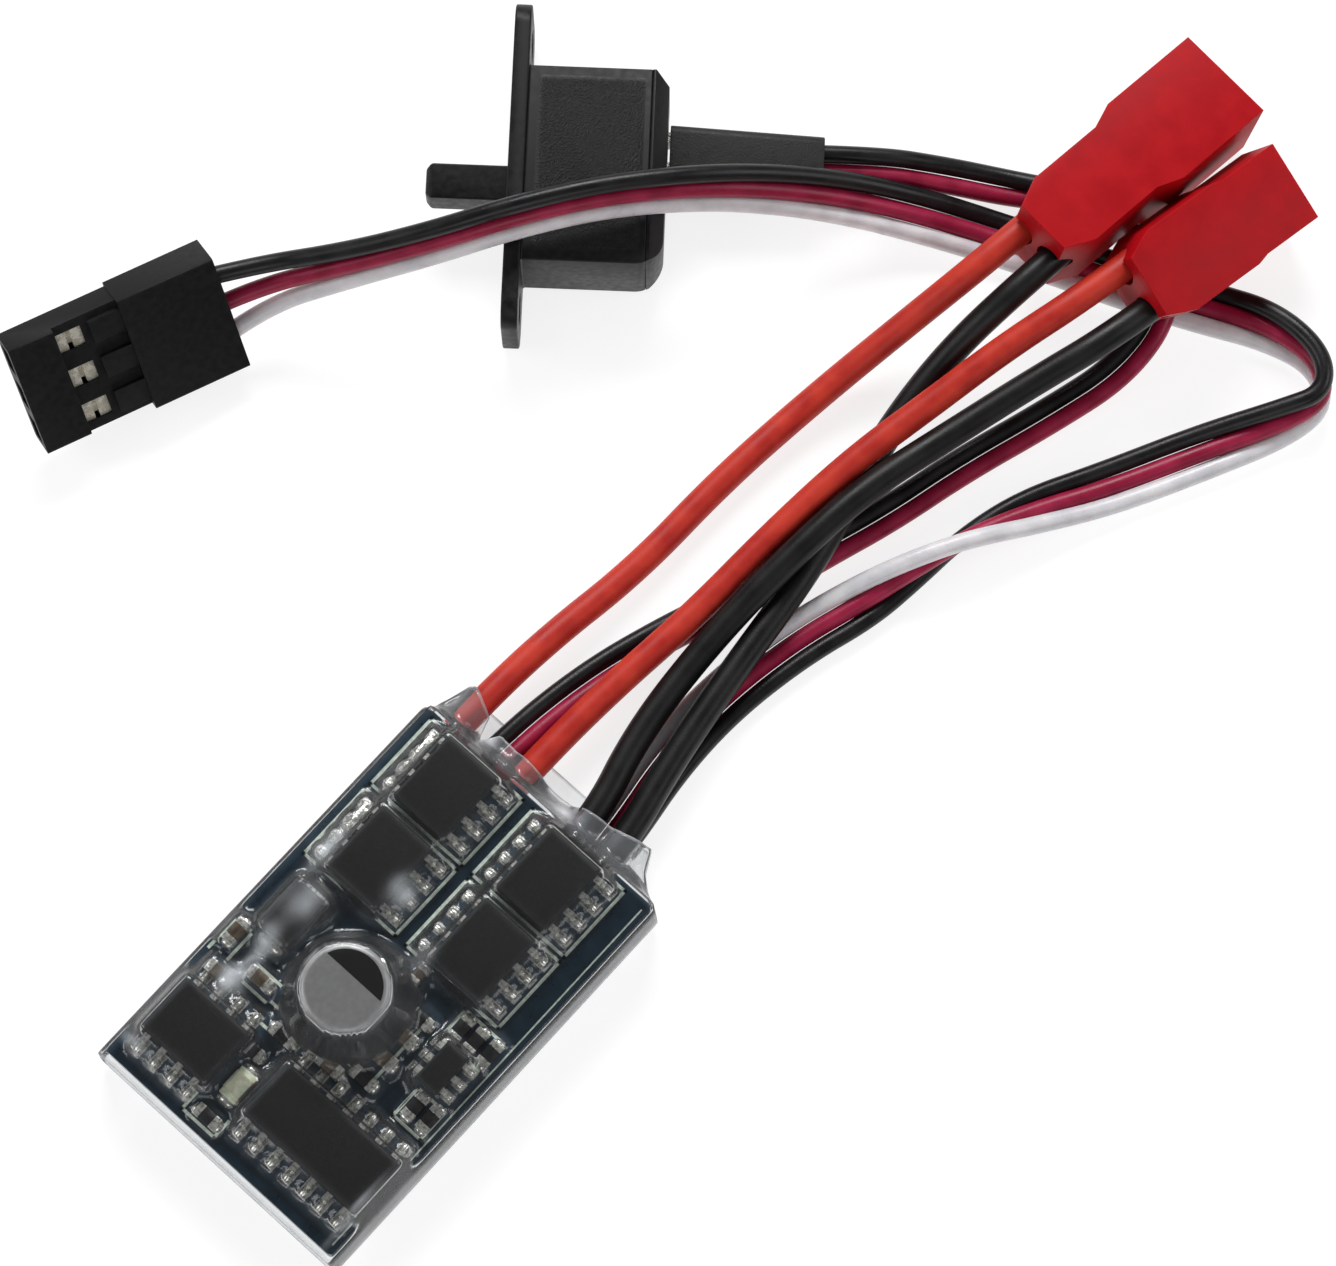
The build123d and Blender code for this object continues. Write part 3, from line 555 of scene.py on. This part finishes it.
def add_cord(name, node, route, diameter, slot):
    curve = bpy.data.curves.new(name, "CURVE")
    curve.dimensions = "3D"
    spline = curve.splines.new("NURBS")
    spline.points.add(len(route) - 1)
    for point, (x, y, z) in zip(spline.points, route):
        point.co = (x * MM, y * MM, z * MM, 1.0)
    spline.order_u = 3
    spline.use_endpoint_u = True
    curve.resolution_u = 12
    curve.bevel_depth = diameter / 2
    curve.bevel_resolution = 6
    curve.use_fill_caps = True
    piece = bpy.data.objects.new(name, curve)
    scene.collection.objects.link(piece)
    paint(piece, slot)
    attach(piece, "controller")
    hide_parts(node)
    return piece


power_routes = {
    ("battery", "red"): battery_red_route,
    ("battery", "black"): battery_black_route,
    ("motor", "red"): motor_red_route,
    ("motor", "black"): motor_black_route,
}
power_wires = {
    (lead, colour): add_cord(
        f"{lead}_lead_{colour}", f"{lead}_wire_{colour}", route, POWER_DIAMETER, colour + "_silicone"
    )
    for (lead, colour), route in power_routes.items()
}
PVC_SLOTS = {"black": "black_pvc", "red": "crimson_pvc", "white": "white_pvc"}


def add_ribbon(lead, ribbon, steps):
    """The wires of one ribbon by colour; steps gives each colour's offset from the ribbon's middle."""
    return {
        colour: add_cord(
            f"{lead}_lead_{colour}", f"{lead}_wire_{colour}", ribbon_wire(ribbon, step),
            SIGNAL_DIAMETER, PVC_SLOTS[colour],
        )
        for colour, step in steps.items()
    }


servo_wires = add_ribbon("servo", servo_ribbon, {"black": 1, "red": 0, "white": -1})
switch_wires = add_ribbon("switch", switch_ribbon, {"black": 0.5, "red": -0.5})

# ---------------------------------------------------------------- moulded pieces with rounded edges
battery_housing = rounded("battery_connector_housing", 0.28 * MM, 4)
motor_housing = rounded("motor_connector_housing", 0.26 * MM, 4)
plug_housing = rounded("servo_plug_housing", 0.10 * MM)
switch_body = rounded("switch_housing", 0.12 * MM)
switch_back = rounded("switch_back_plate", 0.12 * MM)
rounded("switch_slider", 0.12 * MM, body="slider")
switch_tube = rounded("switch_wire_sleeve", 0.10 * MM)
for node_name in sorted(node_finish):
    if node_finish[node_name] == "chip_epoxy":
        rounded(node_name, 0.06 * MM, 2)
rounded("status_light", 0.08 * MM)
rounded("capacitor_base", 0.06 * MM, 2)
rounded("chip_capacitors", 0.07 * MM, 2)
rounded("chip_resistors", 0.03 * MM, 2)

# ---------------------------------------------------------------- solder, pads and end caps
board_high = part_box("circuit_board")[1]
board_top = board_high.z
PAD_HEIGHT = 0.03 * MM
PAD_MARGIN = 0.08 * MM
# half length along the lead, half width, setback of the middle from the lead's tip, and height of each joint
SOIC_JOINT = (0.56 * MM, 0.27 * MM, 0.28 * MM, 0.34 * MM)
SMALL_JOINT = (0.32 * MM, 0.23 * MM, 0.14 * MM, 0.24 * MM)
BESIDE = 0.1 * MM


def lead_joint(lead_low, lead_high, chip_low, chip_high, joint):
    """A pad with solder on it, under one gull-wing lead of a chip."""
    half_length, half_width, setback, height = joint
    center = (lead_low + lead_high) / 2
    leaves_along_y = lead_low.y > chip_high.y - BESIDE or lead_high.y < chip_low.y + BESIDE
    across = 1 if leaves_along_y else 0
    outward = 1 if center[across] > (chip_low[across] + chip_high[across]) / 2 else -1
    tip = lead_high[across] if outward > 0 else lead_low[across]
    foot = Vector((center.x, center.y, board_top))
    foot[across] = tip - outward * setback
    half = [half_width, half_width]
    half[across] = half_length
    reach = Vector((half[0] + PAD_MARGIN, half[1] + PAD_MARGIN, PAD_HEIGHT))
    add_block(bm_pads, foot - reach, foot + reach)
    add_dome(bm_solder, foot, half[0], half[1], height)


chips = [name for name in nodes if name + "_leads" in nodes]
bm_solder = bmesh.new()
bm_pads = bmesh.new()
for chip in sorted(chips):
    low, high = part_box(chip)
    for lead_low, lead_high in islands(chip + "_leads"):
        lead_joint(lead_low, lead_high, low, high, SMALL_JOINT if chip == "gate_driver" else SOIC_JOINT)

bm_caps = bmesh.new()
END_SHARE = 0.24
CAP_GROWTH = 0.025 * MM
CAP_LIFT = 0.03 * MM
CAP_BEVEL = 0.05 * MM
END_SOLDER_OUT = 0.22 * MM
END_SOLDER = (0.26 * MM, 0.40 * MM, 0.30 * MM)
grow = Vector((CAP_GROWTH, CAP_GROWTH, 0.0))
for node_name in ("chip_resistors", "chip_capacitors"):
    for low, high in islands(node_name):
        size = high - low
        long_axis = 0 if size.x > size.y else 1
        for end in (-1, 1):
            cap_low, cap_high = low.copy(), high.copy()
            if end < 0:
                cap_high[long_axis] = low[long_axis] + END_SHARE * size[long_axis]
            else:
                cap_low[long_axis] = high[long_axis] - END_SHARE * size[long_axis]
            add_block(bm_caps, cap_low - grow, cap_high + grow + Vector((0, 0, CAP_LIFT)))
            foot = (cap_low + cap_high) / 2
            foot.z = board_top
            foot[long_axis] += end * END_SOLDER_OUT
            half = [END_SOLDER[1], END_SOLDER[1]]
            half[long_axis] = END_SOLDER[0]
            add_dome(bm_solder, foot, half[0], half[1], END_SOLDER[2])
end_caps = link_mesh("chip_part_terminals", bm_caps, "tinned_metal", smooth=False)
cap_bevel = end_caps.modifiers.new("rounding", "BEVEL")
cap_bevel.width = CAP_BEVEL
cap_bevel.segments = 2

# (half length along X, half width along Y, height) of the solder at the larger parts
DIODE_SOLDER = (0.62 * MM, 0.95 * MM, 0.55 * MM)
FOOT_SOLDER = (0.55 * MM, 0.62 * MM, 0.26 * MM)
FOOT_SOLDER_OUT = 0.5 * MM
LIGHT_SOLDER = (0.36 * MM, 0.62 * MM, 0.34 * MM)
LIGHT_SOLDER_OUT = 0.1 * MM
for terminal_low, terminal_high in islands("surge_diode_terminals"):
    center = (terminal_low + terminal_high) / 2
    add_dome(bm_solder, (center.x, center.y, board_top), *DIODE_SOLDER)
for foot_low, foot_high in islands("capacitor_feet"):
    center = (foot_low + foot_high) / 2
    outward = 1 if center.x > can_center.x else -1
    add_dome(bm_solder, (center.x + outward * FOOT_SOLDER_OUT, center.y, board_top), *FOOT_SOLDER)
low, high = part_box("status_light")
for x in (low.x - LIGHT_SOLDER_OUT, high.x + LIGHT_SOLDER_OUT):
    add_dome(bm_solder, (x, (low.y + high.y) / 2, board_top), *LIGHT_SOLDER)
# the drain leads of the two outer transistors run together under one long fillet each
FILLET_SETBACK = 0.32 * MM
FILLET_OVERHANG = 0.1 * MM
FILLET_HALF_WIDTH = 0.5 * MM
FILLET_HEIGHT = 0.42 * MM
for chip in ("power_transistor_1", "power_transistor_2"):
    low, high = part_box(chip + "_leads")
    add_dome(
        bm_solder, ((low.x + high.x) / 2, high.y - FILLET_SETBACK, board_top),
        (high.x - low.x) / 2 + FILLET_OVERHANG, FILLET_HALF_WIDTH, FILLET_HEIGHT,
        square=5.0, rings=5, steps=40,
    )
link_mesh("solder_fillets", bm_solder, "solder")
link_mesh("lead_pads", bm_pads, "tinned_metal", smooth=False)

# ---------------------------------------------------------------- printed outlines on the board
LINE = 0.19 * MM
THIN_LINE = 0.1 * MM
INK = 0.02 * MM
TRANSISTOR_OUTLINE = (5.2, 7.2)
# middle, length and width in millimetres, and the sides left out: l, r, b or t
OUTLINES = (
    (0.9, -6.45, 2.1, 3.1, ""),
    (-4.25, -7.0, 2.1, 2.1, ""),
    (-2.45, -2.6, 4.8, 2.3, "t"),
    (-4.1, 7.9, 2.3, 1.3, "l"),
    (-4.8, 4.9, 1.3, 1.9, "b"),
    (-5.85, 2.2, 1.3, 2.9, "t"),
    (-12.5, 2.0, 1.2, 2.5, "r"),
)
bm_ink = bmesh.new()


def ink_line(x0, y0, x1, y1, width=LINE):
    """A printed line along X or along Y, between two points in millimetres."""
    half = width / 2
    low = (min(x0, x1) * MM - half, min(y0, y1) * MM - half, board_top - INK)
    high = (max(x0, x1) * MM + half, max(y0, y1) * MM + half, board_top + INK)
    add_block(bm_ink, low, high)


def ink_box(x, y, length, width, left_out=""):
    """A printed rectangle about a middle, without the sides left out."""
    left, right = x - length / 2, x + length / 2
    bottom, top = y - width / 2, y + width / 2
    sides = {
        "l": (left, bottom, left, top),
        "r": (right, bottom, right, top),
        "b": (left, bottom, right, bottom),
        "t": (left, top, right, top),
    }
    for side, line in sides.items():
        if side not in left_out:
            ink_line(*line)


for number in (1, 2, 3, 4):
    low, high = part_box(f"power_transistor_{number}")
    middle = (low + high) / 2 / MM
    ink_box(middle.x, middle.y, *TRANSISTOR_OUTLINE)
for outline in OUTLINES:
    ink_box(*outline)
ink_line(-11.2, -8.3, -7.2, -8.3)
ink_line(-11.4, 8.15, -7.4, 8.15)
ink_line(-13.0, -8.45, 13.0, -8.45, THIN_LINE)
link_mesh("board_printing", bm_ink, "silkscreen", smooth=False)


# ---------------------------------------------------------------- clear sleeve, drawn over the parts
FILM_IOR = 1.34
FILM_ROUGHNESS = 0.14
RIPPLE_GRAIN = 420
RIPPLE_DEPTH = 0.02 * MM


def film_material():
    """Clear and glossy, with milk mixed in where the mesh's attribute haze_and_glint is above zero: the
    film's own milkiness, and painted highlights of its wrinkles.
    """
    material = bpy.data.materials.new("clear_film")
    material.use_nodes = True
    tree = material.node_tree
    tree.nodes.remove(tree.nodes["Principled BSDF"])
    coordinates = object_coordinates(tree)
    clear = tree.nodes.new("ShaderNodeBsdfTransparent")
    clear.inputs["Color"].default_value = (0.995, 0.998, 1.0, 1.0)
    milk = tree.nodes.new("ShaderNodeBsdfDiffuse")
    milk.inputs["Color"].default_value = (0.80, 0.84, 0.88, 1.0)
    gloss = tree.nodes.new("ShaderNodeBsdfAnisotropic")
    gloss.inputs["Roughness"].default_value = FILM_ROUGHNESS
    add_bump(tree, gloss, noise(tree, coordinates, RIPPLE_GRAIN, 2.0, 0.4), RIPPLE_DEPTH)
    attribute = tree.nodes.new("ShaderNodeAttribute")
    attribute.attribute_name = "haze_and_glint"
    cloud = ramp(tree, noise(tree, coordinates, RIPPLE_GRAIN, 4.0), 0.3, 0.75, 0.6, 1.4)
    # milk from the attribute, which holds painted highlights of the wrinkles as well as the film's own milk
    haze_and_glint = math_node(tree, "MULTIPLY", attribute.outputs["Fac"], cloud)
    body = tree.nodes.new("ShaderNodeMixShader")
    linked(tree, haze_and_glint, body.inputs[0])
    linked(tree, clear.outputs[0], body.inputs[1])
    linked(tree, milk.outputs[0], body.inputs[2])
    fresnel = tree.nodes.new("ShaderNodeFresnel")
    fresnel.inputs["IOR"].default_value = FILM_IOR
    skin = tree.nodes.new("ShaderNodeMixShader")
    linked(tree, fresnel.outputs[0], skin.inputs[0])
    linked(tree, body.outputs[0], skin.inputs[1])
    linked(tree, gloss.outputs[0], skin.inputs[2])
    linked(tree, skin.outputs[0], tree.nodes["Material Output"].inputs["Surface"])
    return material


finish["clear_film"] = film_material()

# The film's height is found on a grid of cells, in millimetres, and nowhere lies below the obstacles.
CELL = 0.16
GRID_X = (-14.25, 17.01)
GRID_Y = (-9.5, 9.51)
x_grid = np.arange(*GRID_X, CELL)
y_grid = np.arange(*GRID_Y, CELL)
grid_x, grid_y = np.meshgrid(x_grid, y_grid, indexing="ij")
SIDE_MARGIN = 0.16
TOP_MARGIN = 0.07
BOARD_END_MARGIN = 0.2
BOARD_SIDE_MARGIN = 0.1
BOARD_TOP_MARGIN = 0.08
LOWEST = 0.6
on_board = (
    (np.abs(grid_x) < board_high.x / MM + BOARD_END_MARGIN)
    & (np.abs(grid_y) < board_high.y / MM + BOARD_SIDE_MARGIN)
)
obstacle = np.where(on_board, board_top / MM + BOARD_TOP_MARGIN, LOWEST)


def obstruct(low, high):
    inside = (
        (grid_x > low.x / MM - SIDE_MARGIN) & (grid_x < high.x / MM + SIDE_MARGIN)
        & (grid_y > low.y / MM - SIDE_MARGIN) & (grid_y < high.y / MM + SIDE_MARGIN)
    )
    obstacle[inside] = np.maximum(obstacle[inside], high.z / MM + TOP_MARGIN)


for node_name in nodes:
    if node_name in ("chip_resistors", "chip_capacitors") or node_name.endswith("_leads"):
        for low, high in islands(node_name):
            obstruct(low, high)
    elif node_name in chips or node_name in ("surge_diode", "status_light", "surge_diode_terminals"):
        obstruct(*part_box(node_name))
can_x, can_y = can_center.x / MM, can_center.y / MM
can_radius = (can_high.x - can_low.x) / 2 / MM
on_can = (grid_x - can_x) ** 2 + (grid_y - can_y) ** 2 < (can_radius + SIDE_MARGIN) ** 2
obstacle[on_can] = can_high.z / MM + TOP_MARGIN
# (y, z, radius) of the wires under the film's mouth
MOUTH_WIRES = (
    (7.15, 2.1, 0.88), (2.3, 2.1, 0.88), (-2.5, 2.16, 0.88), (-4.75, 2.16, 0.88), (5.05, 1.5, 0.5),
    (3.95, 1.5, 0.5),
)
WIRE_MARGIN = 0.1
WIRES_START = 13.4
for wire_y, wire_z, radius in MOUTH_WIRES:
    offset = np.abs(grid_y - wire_y)
    over = (grid_x > WIRES_START) & (offset < radius + WIRE_MARGIN)
    crown = wire_z + np.sqrt(np.maximum((radius + WIRE_MARGIN) ** 2 - offset**2, 0))
    obstacle = np.where(over, np.maximum(obstacle, crown), obstacle)

# the film's plan: (x, y) along its two sides past the board's end, and (y, x) of its cut edge on the wires
LEFT_SIDE = ((13.4, 9.15), (14.6, 8.95), (16.4, 8.35), (17.5, 8.2))
RIGHT_SIDE = ((13.5, -9.1), (13.95, -8.5), (14.3, -7.75), (15.2, -6.75), (16.5, -6.15), (17.5, -6.1))
MOUTH_EDGE = (
    (-6.15, 16.4), (-4.35, 15.85), (-1.3, 15.4), (1.1, 15.2), (4.85, 15.5), (5.45, 14.3), (6.1, 15.8),
    (7.9, 16.6), (8.35, 16.4),
)


def lookup(points, value):
    return np.interp(value, [point[0] for point in points], [point[1] for point in points])


# painted highlights, milk put on the film where wrinkles catch the light: (x, y, half length along X, half
# width along Y, strength of the painted milk)
PAINTED_GLINTS = (
    (4.35, 2.3, 0.75, 0.6, 0.42), (3.3, 7.3, 1.3, 0.45, 0.30), (0.2, 6.0, 1.0, 0.7, 0.34),
    (-2.9, 6.2, 0.9, 0.5, 0.34), (-5.8, 6.2, 0.7, 0.6, 0.55), (2.5, -1.2, 0.7, 0.5, 0.14),
    (-4.4, 6.1, 1.6, 0.35, 0.20), (14.6, -0.9, 0.5, 0.9, 0.60), (14.9, 5.2, 0.5, 0.4, 0.55),
    (-11.0, -8.2, 1.9, 0.18, 0.30), (-12.2, 7.6, 0.3, 1.0, 0.25),
)


def painted_glint(x, y):
    """The painted highlight of the wrinkles at a place on the film, as milk."""
    return sum(
        strength * math.exp(-((x - at_x) / half_x) ** 2 - ((y - at_y) / half_y) ** 2)
        for at_x, at_y, half_x, half_y, strength in PAINTED_GLINTS
    )


# The film is held at its sides. Each sweep evens out the rest, pulls it down, and lays it on the obstacles.
BOARD_END = 13.6
SIDE_HEIGHT = 3.9
MOUTH_HEIGHT = 1.9
FIRST_HEIGHT = 4.6
PULL = 0.0225
SWEEPS = 3900
outside = (grid_y > lookup(LEFT_SIDE, grid_x)) | (grid_y < lookup(RIGHT_SIDE, grid_x))
fixed = np.where(grid_x > BOARD_END, MOUTH_HEIGHT, SIDE_HEIGHT)
height = np.maximum(obstacle, FIRST_HEIGHT)
height[outside] = fixed[outside]
for _ in range(SWEEPS):
    middle = height.copy()
    middle[1:-1, 1:-1] = (
        height[2:, 1:-1] + height[:-2, 1:-1] + height[1:-1, 2:] + height[1:-1, :-2]
    ) / 4 - PULL
    middle[0, :], middle[-1, :] = middle[1, :], middle[-2, :]
    middle[:, 0], middle[:, -1] = middle[:, 1], middle[:, -2]
    height = np.where(outside, fixed, np.maximum(middle, obstacle))


def film_height(x, y):
    """Bilinear reading of the drawn film's height, in millimetres."""
    u = np.clip((x - x_grid[0]) / CELL, 0, len(x_grid) - 1.001)
    v = np.clip((y - y_grid[0]) / CELL, 0, len(y_grid) - 1.001)
    i, j = int(u), int(v)
    a, b = u - i, v - j
    return (
        height[i, j] * (1 - a) * (1 - b) + height[i + 1, j] * a * (1 - b)
        + height[i, j + 1] * (1 - a) * b + height[i + 1, j + 1] * a * b
    )


# The mesh is a row of rings from the rear end to the mouth: each goes over the top, down one wall, back
# under the board and up the other wall. The last rings make the collar over the wires.
ACROSS = 84
ALONG = 116
COLLAR = 14
REAR_END = -14.0
COLLAR_START = 13.5
SIDE_INSET = 0.12
WALL_FOOT = 0.12
WALL_BULGE = 0.25
# (share of the bulge, share of the way down) of the points of a wall
WALL = ((0.3, 0.25), (0.75, 0.5), (0.85, 0.75), (0.5, 0.9))
UNDERSIDE = 0.10
UNDERSIDE_INSET = 0.6
UNDERSIDE_SHARES = (0.0, 0.2, 0.4, 0.6, 0.8, 1.0)
WALL_HAZE = 0.16
UNDERSIDE_HAZE = 0.05
SLOPE_REACH = 0.3
STEEPEST = 2.5
SLOPE_HAZE = 0.05
COLLAR_HAZE = 0.07
RIM_HAZE = 0.35
MOST_HAZE = 0.85
mouth_right, mouth_left = MOUTH_EDGE[0][0], MOUTH_EDGE[-1][0]
rings = []
for step in range(ALONG + COLLAR + 1):
    ring = []
    for index in range(ACROSS + 1):
        v = index / ACROSS * 2 - 1
        mouth_y = mouth_right + (mouth_left - mouth_right) * (v + 1) / 2
        mouth_x = float(lookup(MOUTH_EDGE, mouth_y))
        if step <= ALONG:
            x = REAR_END + (COLLAR_START - REAR_END) * step / ALONG
        else:
            x = COLLAR_START + (mouth_x - COLLAR_START) * (step - ALONG) / COLLAR
        left = float(lookup(LEFT_SIDE, x)) - SIDE_INSET
        right = float(lookup(RIGHT_SIDE, x)) + SIDE_INSET
        y = right + (left - right) * (v + 1) / 2
        # the points over the top carry the painted highlights of the wrinkles as milk
        ring.append((x, y, film_height(x, y), painted_glint(x, y)))
    collar_share = max(0.0, (step - ALONG) / COLLAR)
    first, last = ring[0], ring[-1]
    wall = [(share * (1 - collar_share) * WALL_BULGE, drop) for share, drop in WALL]
    for out, drop in wall:
        ring.append((last[0], last[1] + out, last[2] + (WALL_FOOT - last[2]) * drop, WALL_HAZE))
    floor_left, floor_right = last[1] - UNDERSIDE_INSET, first[1] + UNDERSIDE_INSET
    for share in UNDERSIDE_SHARES:
        y = floor_left + (floor_right - floor_left) * share
        x = last[0] + (first[0] - last[0]) * share
        ring.append((x, y, UNDERSIDE, UNDERSIDE_HAZE))
    for out, drop in reversed(wall):
        ring.append((first[0], first[1] - out, first[2] + (WALL_FOOT - first[2]) * drop, WALL_HAZE))
    rings.append(ring)

bm_film = bmesh.new()
haze_and_glint_layer = bm_film.verts.layers.float.new("haze_and_glint")
grid = []
for index, ring in enumerate(rings):
    line = []
    for place, (x, y, z, milk_and_painted_glint) in enumerate(ring):
        vertex = bm_film.verts.new((x * MM, y * MM, z * MM))
        steep = 0.0
        if place <= ACROSS:
            dx = film_height(x + SLOPE_REACH, y) - film_height(x - SLOPE_REACH, y)
            dy = film_height(x, y + SLOPE_REACH) - film_height(x, y - SLOPE_REACH)
            steep = min(1.0, math.hypot(dx, dy) / (2 * SLOPE_REACH) / STEEPEST)
        past_board = COLLAR_HAZE if x > BOARD_END else 0.0
        rim = RIM_HAZE if index in (0, len(rings) - 1) else 0.0
        # the film's own milk at walls, slopes, collar and rim, plus the painted highlights of the top points
        vertex[haze_and_glint_layer] = min(MOST_HAZE, milk_and_painted_glint + SLOPE_HAZE * steep + past_board + rim)
        line.append(vertex)
    grid.append(line)
around = len(grid[0])
for lower, upper in zip(grid, grid[1:]):
    for index in range(around):
        after = (index + 1) % around
        bm_film.faces.new((lower[index], upper[index], upper[after], lower[after]))
bmesh.ops.recalc_face_normals(bm_film, faces=bm_film.faces)
film = link_mesh("clear_sleeve", bm_film, "clear_film")
FILM_THICKNESS = 0.06 * MM
skin = film.modifiers.new("thickness", "SOLIDIFY")
skin.thickness = FILM_THICKNESS
skin.offset = 1.0
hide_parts("heat_shrink_sleeve")

# ---------------------------------------------------------------- floor
FLOOR_HALF = 1.5
FLOOR_LEVEL = -0.02 * MM
FLOOR_GLOW = 0.80
bm_floor = bmesh.new()
corners = ((-1, -1), (1, -1), (1, 1), (-1, 1))
bm_floor.faces.new([bm_floor.verts.new((x * FLOOR_HALF, y * FLOOR_HALF, FLOOR_LEVEL)) for x, y in corners])
floor_mesh = bpy.data.meshes.new("floor")
bm_floor.to_mesh(floor_mesh)
bm_floor.free()
floor = bpy.data.objects.new("floor", floor_mesh)
scene.collection.objects.link(floor)
floor_finish = surface("floor", (0.29, 0.29, 0.29), (0.31, 0.31, 0.31), (0.75, 0.85), 20)
floor_shader = floor_finish.node_tree.nodes["Principled BSDF"]
floor_shader.inputs["Specular IOR Level"].default_value = 0.0
floor_shader.inputs["Emission Color"].default_value = (1.0, 1.0, 1.0, 1.0)
floor_shader.inputs["Emission Strength"].default_value = FLOOR_GLOW
floor_mesh.materials.append(floor_finish)
